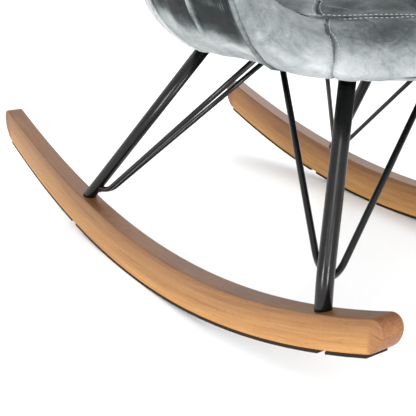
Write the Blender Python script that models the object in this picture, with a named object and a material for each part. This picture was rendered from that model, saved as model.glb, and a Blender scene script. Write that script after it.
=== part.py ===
"""Rocking chair: a padded bucket seat on a braced steel base with two laminated wood rockers.

Metres, +Z up, the front faces -Y, and the floor is z = 0. Every piece is its own closed object.
"""

import math

import bmesh
import bpy
import numpy as np
from mathutils import Matrix, Vector

# ---- driving dimensions ----
GAP = 0.0003  # clearance between pieces that touch

ROCKER_SPACING = 0.432  # over the outer faces
ROCKER_WIDTH = 0.0222
ROCKER_FRONT = -0.3915  # fore-aft ends of the rockers
ROCKER_REAR = 0.3775
BOTTOM_CURVE = (0.0, 0.0, 0.5299, -0.1343, -0.0484)  # height of the tread against y
TOP_CURVE = (0.0483, 0.0301, 0.4675, -0.2011, 0.0248)
ROCKER_STEPS = 36

STRIP_THICK = 0.0028
STRIP_JOINTS_LEFT = ((0.388, 0.157), (0.144, -0.3385), (-0.3475, -0.402))
STRIP_JOINTS_RIGHT = ((0.388, 0.157), (0.144, -0.2000), (-0.3000, -0.402))

REAR_LEG_Y = 0.118
FRONT_LEG_Y = -0.331
LEG_RADIUS = 0.0072
LEG_WALL = 0.0016  # the lowest part of the leg is plugged for its bolt
HEEL_FRONT = 0.026  # short upright end of a front leg, above the rocker
BOLT_LEAN = 25.0  # forward lean of the bolt in a rear leg, which has no upright end
FRAME_X_REAR = 0.134
FRAME_Y_REAR = -0.055
FRAME_X_FRONT = 0.150
FRAME_Y_FRONT = -0.283
WIRE_RADIUS = 0.0029
WIRE_HOOK = 0.015  # how far the wire runs out of the leg before it turns up
HOOK_FRONT = 0.0255  # from the foot of the leg to the hook of its cross wire
HOOK_REAR = 0.014
WIRE_TURN = 0.010  # length taken by that turn
HOOK_STEP = 0.0065  # the hook of a side wire sits this much above that of a cross wire
WIRE_END_GAP = 0.020  # half the space between the two wires that meet at a frame bar
CROSS_END_GAP = 0.048  # the same at the front bar

FRAME_BOTTOM = 0.2680
FRAME_THICK = 0.0040
FRAME_BAR = 0.020
SPACER_HEIGHT = 0.0080
SPACER_RADIUS = 0.013
BOLT_RADIUS = 0.0030
HEAD_RADIUS = 0.0065
HEAD_HEIGHT = 0.0040
INSERT_RADIUS = 0.0065

COVER_THICK = 0.0012
COVER_GAP = 0.0010  # loose fit of the outer cover on the shell
SHELL_THICK = 0.0050
SEAT_CENTRE_Y = -0.130
FOAM_SEAT = 0.036
FOAM_WALL = 0.033
FOAM_BACK = 0.017  # added behind the sitter's back
FOAM_EDGE = 0.0022
PAD_ROUND = 0.055  # width of the rounded edge of the padding
PIPING_RADIUS = 0.0024

# Plan direction in degrees from +X towards the back, then the flat run, the bend radius, the lean
# of the wall, the whole run from the middle of the pan to the rim, and where the pan starts to dip.
SECTIONS = (
    (-90.0, 0.225, 0.300, 12.0, 0.2850, 0.178),
    (-60.0, 0.236, 0.200, 20.0, 0.2900, 0.206),
    (-45.0, 0.244, 0.120, 45.0, 0.2900, 0.214),
    (-38.0, 0.236, 0.085, 64.0, 0.2870, 0.208),
    (-31.0, 0.214, 0.080, 70.0, 0.3020, 0.200),
    (-24.0, 0.199, 0.080, 74.0, 0.3500, 0.188),
    (-8.0, 0.180, 0.072, 78.0, 0.4080, 0.170),
    (8.0, 0.168, 0.058, 80.0, 0.4350, 0.165),
    (30.0, 0.164, 0.050, 80.0, 0.4600, 0.172),
    (52.0, 0.136, 0.070, 79.0, 0.6100, 0.135),
    (72.0, 0.132, 0.105, 75.0, 0.8150, 0.110),
    (90.0, 0.136, 0.120, 73.0, 0.8750, 0.100),
)
PAN_DIP = 0.0065  # the pan's edge hangs this much below its middle, round the seat frame
DIP_WIDTH = 0.040
CORNER_WARP = 12.0  # degrees by which the panel corners turn towards the sides

# Panel coordinates run from -1 to 1 across the seat and from the front lip to the top of the back.
U_SEAMS = ((-0.80, 0.0035), (0.0, 0.0020))  # seam line and half its opening
V_SEAMS = ((-0.80, 0.0070), (-0.15, 0.0045), (0.25, 0.0040), (0.62, 0.0030))
U_PLAIN = (-1.0, -0.93, -0.86, -0.70, -0.58, -0.42, -0.24, -0.10)
V_PLAIN = (-1.0, -0.93, -0.70, -0.60, -0.40, 0.08, 0.31, 0.37, 0.43, 0.50, 0.75, 0.88, 0.95, 1.0)
U_LINES = tuple(sorted(U_PLAIN + tuple(s + k * h for s, h in U_SEAMS for k in (-1, 1) if s + k * h < 0)))
V_LINES = tuple(sorted(V_PLAIN + tuple(s + k * h for s, h in V_SEAMS for k in (-1, 1))))

SHELL_BOTTOM = FRAME_BOTTOM + FRAME_THICK + SPACER_HEIGHT + 2 * GAP + COVER_THICK + COVER_GAP
SHELL_TOP = SHELL_BOTTOM + SHELL_THICK


# ---- materials ----
def material(name, colour, roughness, metallic=0.0):
    made = bpy.data.materials.new(name)
    made.use_nodes = True
    shader = made.node_tree.nodes["Principled BSDF"]
    shader.inputs["Base Color"].default_value = (*colour, 1.0)
    shader.inputs["Roughness"].default_value = roughness
    shader.inputs["Metallic"].default_value = metallic
    made.diffuse_color = (*colour, 1.0)
    return made


def add(name, points, faces, mat, smooth=False):
    mesh = bpy.data.meshes.new(name)
    mesh.from_pydata([tuple(map(float, p)) for p in points], [], faces)
    mesh.update()
    work = bmesh.new()
    work.from_mesh(mesh)
    bmesh.ops.recalc_face_normals(work, faces=work.faces)
    if work.calc_volume(signed=True) < 0:
        bmesh.ops.reverse_faces(work, faces=work.faces)
    work.to_mesh(mesh)
    work.free()
    for face in mesh.polygons:
        face.use_smooth = smooth
    obj = bpy.data.objects.new(name, mesh)
    bpy.context.scene.collection.objects.link(obj)
    obj.data.materials.append(mat)
    return obj


# ---- round and flat solids ----
def tube(name, path, radius, sides, mat):
    """A solid round bar along a path, with flat ends."""
    path = [Vector(p) for p in path]
    side = None
    points = []
    faces = []
    for i, here in enumerate(path):
        ahead = (path[min(i + 1, len(path) - 1)] - path[max(i - 1, 0)]).normalized()
        if side is None:
            side = ahead.orthogonal().normalized()
        side = (side - ahead * side.dot(ahead)).normalized()
        other = ahead.cross(side)
        for k in range(sides):
            turn = 2 * math.pi * k / sides
            points.append(here + radius * (math.cos(turn) * side + math.sin(turn) * other))
    for i in range(len(path) - 1):
        for k in range(sides):
            a = i * sides + k
            b = i * sides + (k + 1) % sides
            faces.append((a, b, b + sides, a + sides))
    faces.append(tuple(range(sides - 1, -1, -1)))
    last = (len(path) - 1) * sides
    faces.append(tuple(range(last, last + sides)))
    return add(name, points, faces, mat, True)


def turned(name, profile, base, axis, sides, mat):
    """A solid of revolution. The profile lists (radius, height) from one end of the axis to the other."""
    axis = Vector(axis).normalized()
    side = axis.orthogonal().normalized()
    other = axis.cross(side)
    base = Vector(base)
    points = []
    rings = []
    for radius, height in profile:
        if radius == 0.0:
            rings.append([len(points)])
            points.append(base + axis * height)
            continue
        rings.append(list(range(len(points), len(points) + sides)))
        for k in range(sides):
            turn = 2 * math.pi * k / sides
            points.append(base + axis * height + radius * (math.cos(turn) * side + math.sin(turn) * other))
    faces = []
    for low, high in zip(rings, rings[1:]):
        for k in range(sides):
            n = (k + 1) % sides
            if len(low) == 1:
                faces.append((low[0], high[k], high[n]))
            elif len(high) == 1:
                faces.append((low[k], low[n], high[0]))
            else:
                faces.append((low[k], low[n], high[n], high[k]))
    return add(name, points, faces, mat, True)


# ---- rockers ----
def curve(coefficients, y):
    return sum(c * y**k for k, c in enumerate(coefficients))


def slope(coefficients, y):
    return sum(k * c * y ** (k - 1) for k, c in enumerate(coefficients) if k)


def rocker_ys(front, rear, steps):
    """Stations along the rocker. One cell is centred on the lowest point, so its underside is level there."""
    cell = 0.022
    ys = np.concatenate([np.linspace(front, -cell / 2, steps // 2), np.linspace(cell / 2, rear, steps // 2)])
    return [float(y) for y in ys]


def tread(y):
    """The underside of the wood, one strip thickness above the floor curve."""
    return curve(BOTTOM_CURVE, y) + STRIP_THICK + GAP


def rounded_end(y, sign, count=7):
    """Points round the end of the rocker, from the tread up to the top face."""
    low = Vector((y, tread(y)))
    high = Vector((y, curve(TOP_CURVE, y)))
    middle = (low + high) / 2
    half = (high - low) / 2
    out = Vector((sign * half.length * 0.92, 0.0))
    tilt = slope(TOP_CURVE, y)
    out = Vector((out.x, out.x * tilt))
    turns = [math.pi * (k / (count + 1) - 0.5) for k in range(1, count + 1)]
    return [middle + half * math.sin(t) + out * math.cos(t) for t in turns]


def rocker(name, side, mat):
    ys = rocker_ys(ROCKER_FRONT, ROCKER_REAR, ROCKER_STEPS)
    outline = [(y, tread(y)) for y in ys]
    outline += [tuple(p) for p in rounded_end(ROCKER_REAR, 1)]
    outline += [(y, curve(TOP_CURVE, y)) for y in reversed(ys)]
    outline += [tuple(p) for p in reversed(rounded_end(ROCKER_FRONT, -1))]
    outer = side * ROCKER_SPACING / 2
    inner = side * (ROCKER_SPACING / 2 - ROCKER_WIDTH)
    xs = (min(outer, inner), max(outer, inner))
    count = len(outline)
    points = [(xs[0], y, z) for y, z in outline] + [(xs[1], y, z) for y, z in outline]
    faces = [tuple(range(count)), tuple(range(2 * count - 1, count - 1, -1))]
    faces += [(i, (i + 1) % count, (i + 1) % count + count, i + count) for i in range(count)]
    made = add(name, points, faces, mat)
    for y in (REAR_LEG_Y, FRONT_LEG_Y):
        foot, up = leg_foot(side, y)
        bore = turned(f"bore_{name}_{y:+.2f}", bore_profile(), foot, up, 16, mat)
        bore.hide_render = True
        bore.display_type = "WIRE"
        cut = made.modifiers.new("bolt_bore", "BOOLEAN")
        cut.operation = "DIFFERENCE"
        cut.solver = "EXACT"
        cut.object = bore
    return made


def bore_profile():
    deep = 0.060
    counter = HEAD_RADIUS + 0.0007
    shank = BOLT_RADIUS + 0.0004
    shoulder = -0.022
    return ((0.0, -deep), (counter, -deep), (counter, shoulder), (shank, shoulder), (shank, 0.004), (0.0, 0.004))


def leg_foot(side, y):
    """Centre of the leg's foot on the rocker and the direction of its bolt."""
    x = side * (ROCKER_SPACING - ROCKER_WIDTH) / 2
    lean = math.radians(BOLT_LEAN if y == REAR_LEG_Y else 0.0)
    return Vector((x, y, curve(TOP_CURVE, y))), Vector((0.0, -math.sin(lean), math.cos(lean)))


def thread_length(y):
    """Bolt length inside the leg: it ends below a front leg's bend, and inside a rear leg's plug."""
    return 0.007 if y == REAR_LEG_Y else 0.014


def leg_bolt(name, side, y, mat):
    """Cap screw up through the rocker into the leg. Its head sits on the shoulder of the counterbore."""
    foot, up = leg_foot(side, y)
    shoulder = -0.022 - GAP
    tip = GAP + thread_length(y)
    profile = (
        (0.0, shoulder - HEAD_HEIGHT),
        (HEAD_RADIUS - 0.0005, shoulder - HEAD_HEIGHT),
        (HEAD_RADIUS, shoulder - HEAD_HEIGHT + 0.0005),
        (HEAD_RADIUS, shoulder),
        (BOLT_RADIUS, shoulder),
        (BOLT_RADIUS, tip - 0.0008),
        (BOLT_RADIUS - 0.0008, tip),
        (0.0, tip),
    )
    return turned(name, profile, foot, up, 14, mat)


def grip_strip(name, side, ends, mat):
    """Felt strip on the floor curve, as wide as the rocker."""
    top = max(ends)
    low = min(ends)
    stations = [y for y in rocker_ys(ROCKER_FRONT, ROCKER_REAR, ROCKER_STEPS) if low < y < top]
    ys = [max(low, ROCKER_FRONT)] + stations + [min(top, ROCKER_REAR)]
    ys = sorted(set(round(y, 6) for y in ys))
    inset = 0.0004
    x0 = side * (ROCKER_SPACING / 2 - inset)
    x1 = side * (ROCKER_SPACING / 2 - ROCKER_WIDTH + inset)
    xs = (min(x0, x1), max(x0, x1))
    outline = [(y, floor_height(y)) for y in ys]
    outline += [(y, wood_height(y) - GAP) for y in reversed(ys)]
    count = len(outline)
    points = [(xs[0], y, z) for y, z in outline] + [(xs[1], y, z) for y, z in outline]
    faces = [tuple(range(count)), tuple(range(2 * count - 1, count - 1, -1))]
    faces += [(i, (i + 1) % count, (i + 1) % count + count, i + count) for i in range(count)]
    return add(name, points, faces, mat)


def wood_height(y):
    """Height of the faceted tread of the rocker at y."""
    ys = rocker_ys(ROCKER_FRONT, ROCKER_REAR, ROCKER_STEPS)
    return float(np.interp(y, ys, [tread(s) for s in ys]))


def floor_height(y):
    return wood_height(y) - GAP - STRIP_THICK


# ---- legs and braces ----
def frame_corner(side, y):
    if y > (REAR_LEG_Y + FRONT_LEG_Y) / 2:
        return Vector((side * FRAME_X_REAR, FRAME_Y_REAR, FRAME_BOTTOM - GAP))
    return Vector((side * FRAME_X_FRONT, FRAME_Y_FRONT, FRAME_BOTTOM - GAP))


def leg_axis(side, y):
    """The tube's axis from inside the rocker, its direction above the bend, and its top."""
    foot, up = leg_foot(side, y)
    top = frame_corner(side, y)
    if y == REAR_LEG_Y:
        lean = (top - foot).normalized()
        return [foot - lean * 0.016, foot + lean * 0.010, foot + lean * 0.030], lean, top
    heel = foot + up * HEEL_FRONT
    lean = (top - heel).normalized()
    bend = 0.012
    path = [foot - up * 0.012, heel - up * bend]
    for k in (0.25, 0.5, 0.75):
        a = heel - up * bend * (1 - k)
        b = heel + lean * bend * k
        path.append(a * (1 - k) + b * k)
    path.append(heel + lean * bend)
    return path, lean, top


def leg(name, side, y, mat):
    """Bent leg tube, mitred to the rocker below and to the frame above, with a blind threaded foot."""
    path, lean, top = leg_axis(side, y)
    foot, up = leg_foot(side, y)
    made = tube(name, path + [top - lean * 0.02, top + lean * 0.02], LEG_RADIUS, 14, mat)
    cap = box_cutter(f"cap_{name}", (top.x, top.y, FRAME_BOTTOM - GAP + 0.05), (0.2, 0.2, 0.1), mat)
    trim(made, cap, "mitre_top")
    base = box_cutter(f"base_{name}", (0.0, 0.0, GAP - 0.02), (0.06, 0.06, 0.04), mat)
    tilt = Matrix.Rotation(math.atan(slope(TOP_CURVE, y)), 4, "X")
    base.data.transform(Matrix.Translation(foot) @ tilt)
    trim(made, base, "mitre_foot")
    deep = thread_length(y) + 0.0015
    radius = BOLT_RADIUS + 0.0003
    bore_outline = ((0.0, -0.006), (radius, -0.006), (radius, deep), (0.0, deep + 0.0018))
    bore = turned(f"thread_{name}", bore_outline, foot, up, 14, mat)
    bore.hide_render = True
    bore.display_type = "WIRE"
    trim(made, bore, "thread")
    hollow = [p for p in path if p.z > foot.z + deep + 0.004] + [top - lean * 0.02, top + lean * 0.03]
    inside = tube(f"inside_{name}", hollow, LEG_RADIUS - LEG_WALL, 14, mat)
    inside.hide_render = True
    inside.display_type = "WIRE"
    trim(made, inside, "hollow")
    return made


def trim(made, cutter, label):
    cut = made.modifiers.new(label, "BOOLEAN")
    cut.operation = "DIFFERENCE"
    cut.solver = "EXACT"
    cut.object = cutter


def box_cutter(name, centre, size, mat):
    cx, cy, cz = centre
    hx, hy, hz = (s / 2 for s in size)
    points = [(cx + a * hx, cy + b * hy, cz + c * hz) for a in (-1, 1) for b in (-1, 1) for c in (-1, 1)]
    faces = [(0, 1, 3, 2), (4, 6, 7, 5), (0, 4, 5, 1), (2, 3, 7, 6), (0, 2, 6, 4), (1, 5, 7, 3)]
    made = add(name, points, faces, mat)
    made.hide_render = True
    made.display_type = "WIRE"
    return made


def brace(name, side, y, towards_side, mat):
    """Wire that hooks off the leg near its foot and runs straight up to the middle of a frame bar."""
    foot, up = leg_foot(side, y)
    path, lean, top = leg_axis(side, y)
    other_y = FRONT_LEG_Y if y == REAR_LEG_Y else REAR_LEG_Y
    if towards_side:
        here = frame_corner(side, y)
        there = frame_corner(side, other_y)
    else:
        here = frame_corner(side, y)
        there = frame_corner(-side, y)
    middle = (here + there) / 2
    back = (here - there).normalized()
    end = middle + back * (CROSS_END_GAP if y == FRONT_LEG_Y and not towards_side else WIRE_END_GAP)
    end.z = FRAME_BOTTOM - GAP
    hook = HOOK_FRONT if y == FRONT_LEG_Y else HOOK_REAR
    start = foot + (up if y == FRONT_LEG_Y else lean) * (hook + (HOOK_STEP if towards_side else 0.0))
    heading = (end - start).normalized()
    flat = Vector((heading.x, heading.y, 0.0)).normalized()
    first = start + flat * LEG_RADIUS * 0.3
    corner = start + flat * (LEG_RADIUS + WIRE_HOOK)
    run = (end - corner).normalized()
    into = corner - flat * min(WIRE_TURN, WIRE_HOOK * 0.8)
    away = corner + run * WIRE_TURN
    points = [first, into]
    for k in (0.25, 0.5, 0.75):
        points.append(into * (1 - k) ** 2 + corner * 2 * k * (1 - k) + away * k**2)
    stop = end - Vector((0, 0, WIRE_RADIUS * math.sqrt(1 - run.z**2) + 0.0004))
    points += [away, stop]
    made = tube(name, points, WIRE_RADIUS, 8, mat)
    saddle = tube(f"saddle_{name}", path + [top - lean * 0.02], LEG_RADIUS + GAP, 14, mat)
    saddle.hide_render = True
    saddle.display_type = "WIRE"
    trim(made, saddle, "saddle")
    return made


# ---- seat frame and fasteners ----
def seat_frame(name, mat):
    """Flat ring that the leg tops and wires meet, drilled at its four corners."""
    corners = [
        (-FRAME_X_FRONT, FRAME_Y_FRONT),
        (FRAME_X_FRONT, FRAME_Y_FRONT),
        (FRAME_X_REAR, FRAME_Y_REAR),
        (-FRAME_X_REAR, FRAME_Y_REAR),
    ]
    half = FRAME_BAR / 2
    inner = 0.004
    ring_out = []
    ring_in = []
    for i, (x, y) in enumerate(corners):
        sx = 1 if x > 0 else -1
        sy = 1 if i > 1 else -1
        for k in range(4):
            turn = math.pi / 2 * k / 3
            flip = (sx > 0) == (sy > 0)
            t = turn if flip else math.pi / 2 - turn
            ring_out.append((x + sx * half * math.cos(t), y + sy * half * math.sin(t)))
            inset = half + inner
            ring_in.append((x - sx * (inset - inner * math.cos(t)), y - sy * (inset - inner * math.sin(t))))
    count = len(ring_out)
    low = FRAME_BOTTOM
    high = FRAME_BOTTOM + FRAME_THICK
    points = [(x, y, low) for x, y in ring_out] + [(x, y, high) for x, y in ring_out]
    points += [(x, y, low) for x, y in ring_in] + [(x, y, high) for x, y in ring_in]
    faces = []
    for i in range(count):
        n = (i + 1) % count
        faces.append((i, n, n + count, i + count))
        faces.append((i + 2 * count, n + 2 * count, n + 3 * count, i + 3 * count))
        faces.append((i, n, n + 2 * count, i + 2 * count))
        faces.append((i + count, n + count, n + 3 * count, i + 3 * count))
    made = add(name, points, faces, mat)
    drill(made, mat, BOLT_RADIUS + 0.0004, "frame")
    return made


def bolt_places():
    """Plan positions of the four seat bolts, a little inside the leg tops."""
    inward = 0.024
    places = []
    for side in (-1, 1):
        places.append((side * (FRAME_X_FRONT - inward), FRAME_Y_FRONT, "front", side))
        places.append((side * (FRAME_X_REAR - inward), FRAME_Y_REAR, "rear", side))
    return places


def drill(made, mat, radius, label, low=0.255, high=0.30):
    for x, y, end, side in bolt_places():
        word = "right" if side > 0 else "left"
        drum = turned(
            f"drill_{label}_{end}_{word}",
            ((0.0, low), (radius, low), (radius, high), (0.0, high)),
            (x, y, 0.0),
            (0, 0, 1),
            14,
            mat,
        )
        drum.hide_render = True
        drum.display_type = "WIRE"
        cut = made.modifiers.new(f"{label}_{end}_{word}", "BOOLEAN")
        cut.operation = "DIFFERENCE"
        cut.solver = "EXACT"
        cut.object = drum


def seat_fasteners(rubber, steel, brass):
    for x, y, end, side in bolt_places():
        word = "right" if side > 0 else "left"
        base = FRAME_BOTTOM + FRAME_THICK + GAP
        inner = BOLT_RADIUS + 0.0006
        r = SPACER_RADIUS
        profile = (
            (inner, base),
            (r - 0.0008, base),
            (r, base + 0.0008),
            (r, base + SPACER_HEIGHT - 0.0008),
            (r - 0.0008, base + SPACER_HEIGHT),
            (inner, base + SPACER_HEIGHT),
            (inner, base),
        )
        turned(f"seat_spacer_{end}_{word}", profile, (x, y, 0.0), (0, 0, 1), 16, rubber)
        head = FRAME_BOTTOM - GAP
        tip = SHELL_BOTTOM + 0.0030
        profile = (
            (0.0, head - HEAD_HEIGHT),
            (HEAD_RADIUS - 0.0005, head - HEAD_HEIGHT),
            (HEAD_RADIUS, head - HEAD_HEIGHT + 0.0005),
            (HEAD_RADIUS, head),
            (BOLT_RADIUS, head),
            (BOLT_RADIUS, tip - 0.0008),
            (BOLT_RADIUS - 0.0008, tip),
            (0.0, tip),
        )
        turned(f"seat_bolt_{end}_{word}", profile, (x, y, 0.0), (0, 0, 1), 14, steel)
        top = SHELL_TOP - 0.0004
        hole = BOLT_RADIUS + 0.0003
        profile = (
            (hole, SHELL_BOTTOM + 0.0002),
            (INSERT_RADIUS, SHELL_BOTTOM + 0.0002),
            (INSERT_RADIUS, top),
            (0.0, top),
        )
        blind = ((hole, SHELL_BOTTOM + 0.0036), (0.0, SHELL_BOTTOM + 0.0036))
        turned(
            f"shell_insert_{end}_{word}",
            tuple(reversed(blind)) + profile,
            (x, y, 0.0),
            (0, 0, 1),
            16,
            brass,
        )


# ---- seat surfaces ----
def section(theta):
    """The columns of SECTIONS in plan direction theta, in degrees."""
    rows = np.array(SECTIONS)
    t = np.clip(theta, rows[0, 0], rows[-1, 0])
    return [smooth_interp(t, rows[:, 0], rows[:, k]) for k in range(1, 6)]


def smooth_interp(t, xs, ys):
    """Monotone cubic through the stations."""
    slopes = np.diff(ys) / np.diff(xs)
    tangents = np.zeros(len(xs))
    for i in range(1, len(xs) - 1):
        if slopes[i - 1] * slopes[i] > 0:
            tangents[i] = 2 * slopes[i - 1] * slopes[i] / (slopes[i - 1] + slopes[i])
    i = int(np.clip(np.searchsorted(xs, t) - 1, 0, len(xs) - 2))
    h = xs[i + 1] - xs[i]
    k = (t - xs[i]) / h
    a = (1 + 2 * k) * (1 - k) ** 2
    b = k * (1 - k) ** 2
    c = k * k * (3 - 2 * k)
    d = k * k * (k - 1)
    return float(a * ys[i] + b * h * tangents[i] + c * ys[i + 1] + d * h * tangents[i + 1])


def fold(theta):
    """The same direction on the right half of the chair, from -90 to 90 degrees."""
    if theta > 90.0:
        return 180.0 - theta
    if theta < -90.0:
        return -180.0 - theta
    return theta


def disc(u, v):
    """Square panel coordinates to plan direction and share of the run.

    Lines are straight near the middle and turn into rings and rays near the rim."""
    ring = max(abs(u), abs(v))
    if ring < 1e-9:
        return 0.0, 0.0
    straight = Vector((u * math.sqrt(1 - v * v / 2), v * math.sqrt(1 - u * u / 2)))
    if abs(u) >= abs(v):
        angle = math.pi / 4 * v / abs(u)
        ringed = Vector((math.copysign(math.cos(angle), u), math.sin(angle))) * ring
    else:
        angle = math.pi / 4 * u / abs(v)
        ringed = Vector((math.sin(angle), math.copysign(math.cos(angle), v))) * ring
    weight = ring**4
    mixed = straight * (1 - weight) + ringed * weight
    right = math.degrees(math.atan2(mixed.y, abs(mixed.x)))
    right -= CORNER_WARP * math.sin(2 * math.radians(right))
    turn = right if mixed.x >= 0 else (180.0 - right if right >= 0 else -180.0 - right)
    return turn, min(mixed.length, 1.0)


def place(turn, s):
    """Point of the shell's upper face, s along the run in plan direction turn."""
    flat, bend, lean, run, dip = section(fold(turn))
    lean = math.radians(lean)
    if s <= flat:
        reach, rise = s, 0.0
    elif s <= flat + bend * lean:
        a = (s - flat) / bend
        reach, rise = flat + bend * math.sin(a), bend * (1 - math.cos(a))
    else:
        rest = s - flat - bend * lean
        reach = flat + bend * math.sin(lean) + rest * math.cos(lean)
        rise = bend * (1 - math.cos(lean)) + rest * math.sin(lean)
    sunk = min(max((s - dip) / DIP_WIDTH, 0.0), 1.0)
    rise -= PAN_DIP * sunk * sunk * (3 - 2 * sunk)
    theta = math.radians(turn)
    return np.array((reach * math.cos(theta), SEAT_CENTRE_Y + reach * math.sin(theta), SHELL_TOP + rise))


def surface(u, v):
    turn, share = disc(u, v)
    return place(turn, share * section(fold(turn))[3])


def edge_distance(u, v):
    turn, share = disc(u, v)
    return (1 - share) * section(fold(turn))[3]


def shell_normal(u, v):
    """Unit direction from the shell towards the sitter."""
    turn, share = disc(u, v)
    s = share * section(fold(turn))[3]
    if s < 0.05:
        return np.array((0.0, 0.0, 1.0))
    along_run = place(turn, s + 1e-3) - place(turn, s - 1e-3)
    around = place(turn + 0.5, s) - place(turn - 0.5, s)
    n = np.cross(along_run, around)
    n = n / np.linalg.norm(n)
    here = place(turn, s)
    inside = np.array((0.0, SEAT_CENTRE_Y, SHELL_TOP + 0.5)) - here
    return n if n @ inside > 0 else -n


def padding(u, v):
    """Thickness of the foam: full over the pan, thinner up the walls, rounded off at the rim."""
    turn, share = disc(u, v)
    flat, bend, lean, run = section(fold(turn))[:4]
    up = min(max((share * run - flat) / 0.12, 0.0), 1.0)
    up = up * up * (3 - 2 * up)
    wall = FOAM_WALL + FOAM_BACK * max(math.sin(math.radians(fold(turn))), 0.0) ** 3
    full = FOAM_SEAT + (wall - FOAM_SEAT) * up
    t = 1 - min(edge_distance(u, v) / PAD_ROUND, 1.0)
    return FOAM_EDGE + (full - FOAM_EDGE) * math.sqrt(max(1 - t * t, 0.0))


def foam_top(u, v):
    return surface(u, v) + shell_normal(u, v) * (GAP + padding(u, v))


def grid_slab(name, us, vs, low, high, mat):
    """Closed slab between two surfaces over a grid of panel coordinates."""
    nu, nv = len(us), len(vs)
    points = [low(u, v) for v in vs for u in us] + [high(u, v) for v in vs for u in us]
    total = nu * nv
    faces = []
    for j in range(nv - 1):
        for i in range(nu - 1):
            for corners in split(us, vs, i, j):
                p, q, r = (y * nu + x for x, y in corners)
                faces.append((p, q, r))
                faces.append((p + total, r + total, q + total))
    rim = [i for i in range(nu)] + [j * nu + nu - 1 for j in range(1, nv)]
    rim += [(nv - 1) * nu + i for i in range(nu - 2, -1, -1)] + [j * nu for j in range(nv - 2, 0, -1)]
    for a, b in zip(rim, rim[1:] + rim[:1]):
        faces.append((a, b, b + total, a + total))
    return add(name, points, faces, mat, True)


def full_us():
    return list(U_LINES) + [-u for u in reversed(U_LINES)]


def along(values, low, high):
    return [v for v in values if low - 1e-9 <= v <= high + 1e-9]


def shifted(depth):
    return lambda u, v: surface(u, v) + shell_normal(u, v) * depth


def split(us, vs, i, j):
    """The two triangles of a grid cell. Every layer splits its cells the same way."""
    a, b, c, d = (i, j), (i + 1, j), (i + 1, j + 1), (i, j + 1)
    if (us[i] + us[i + 1]) * (vs[j] + vs[j + 1]) > 0:
        return (a, b, c), (a, c, d)
    return (a, b, d), (b, c, d)


def facet_normals(f, us, vs):
    """Offset directions at the grid points, long enough to clear every facet that meets there."""
    grid = [[f(u, v) for u in us] for v in vs]
    around = {}
    for j in range(len(vs) - 1):
        for i in range(len(us) - 1):
            for corners in split(us, vs, i, j):
                p, q, r = (grid[y][x] for x, y in corners)
                n = np.cross(q - p, r - p)
                size = np.linalg.norm(n)
                if size < 1e-12:
                    continue
                for x, y in corners:
                    around.setdefault((x, y), []).append(n / size)
    found = {}
    for (x, y), normals in around.items():
        mean = np.sum(normals, axis=0)
        mean = mean / np.linalg.norm(mean)
        worst = max(min(float(mean @ n) for n in normals), 0.5)
        found[us[x], vs[y]] = mean / worst
    return found


PANELS = (
    ("patch_lip_corner_left", -1.0, -0.80, -1.0, -0.80),
    ("patch_lip_left", -0.80, 0.0, -1.0, -0.80),
    ("patch_lip_right", 0.0, 0.80, -1.0, -0.80),
    ("patch_lip_corner_right", 0.80, 1.0, -1.0, -0.80),
    ("patch_seat_front_left", -0.80, 0.0, -0.80, -0.15),
    ("patch_seat_front_right", 0.0, 0.80, -0.80, -0.15),
    ("patch_seat_rear_left", -0.80, 0.0, -0.15, 0.25),
    ("patch_seat_rear_right", 0.0, 0.80, -0.15, 0.25),
    ("patch_back_low_left", -0.80, 0.0, 0.25, 0.62),
    ("patch_back_low_right", 0.0, 0.80, 0.25, 0.62),
    ("patch_back_high_left", -0.80, 0.0, 0.62, 1.0),
    ("patch_back_high_right", 0.0, 0.80, 0.62, 1.0),
    ("patch_arm_left", -1.0, -0.80, -0.80, 0.25),
    ("patch_arm_right", 0.80, 1.0, -0.80, 0.25),
    ("patch_wing_left", -1.0, -0.80, 0.25, 1.0),
    ("patch_wing_right", 0.80, 1.0, 0.25, 1.0),
)


def raised(normals, height):
    return lambda u, v: foam_top(u, v) + normals[u, v] * height


def panels(velvet):
    for name, u0, u1, v0, v1 in PANELS:
        us = along(full_us(), u0, u1)
        vs = along(V_LINES, v0, v1)

        normals = facet_normals(foam_top, us, vs)
        grid_slab(name, us, vs, raised(normals, GAP), raised(normals, GAP + COVER_THICK), velvet)


def rim_points():
    us = full_us()
    vs = list(V_LINES)
    loop = [(u, -1.0) for u in us] + [(1.0, v) for v in vs[1:]]
    loop += [(u, 1.0) for u in reversed(us[:-1])] + [(-1.0, v) for v in reversed(vs[1:-1])]
    return loop


def rim_piping(name, mat):
    """Corded trim that closes the joint between the panels and the outer cover all round the rim."""
    loop = rim_points()
    edge = [Vector(surface(u, v)) for u, v in loop]
    up = [Vector(shell_normal(u, v)) for u, v in loop]
    count = len(loop)
    sides = 8
    points = []
    for i in range(count):
        ahead = (edge[(i + 1) % count] - edge[i - 1]).normalized()
        out = ahead.cross(up[i]).normalized()
        inward = Vector((0.0, SEAT_CENTRE_Y, SHELL_TOP)) - edge[i]
        if out.dot(inward) > 0:
            out = -out
        centre = edge[i] + out * (PIPING_RADIUS + 2 * GAP) - up[i] * 0.0012
        for k in range(sides):
            turn = 2 * math.pi * k / sides
            points.append(centre + PIPING_RADIUS * (math.cos(turn) * out + math.sin(turn) * up[i]))
    faces = []
    for i in range(count):
        n = (i + 1) % count
        for k in range(sides):
            m = (k + 1) % sides
            faces.append((i * sides + k, i * sides + m, n * sides + m, n * sides + k))
    return add(name, points, faces, mat, True)


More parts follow.
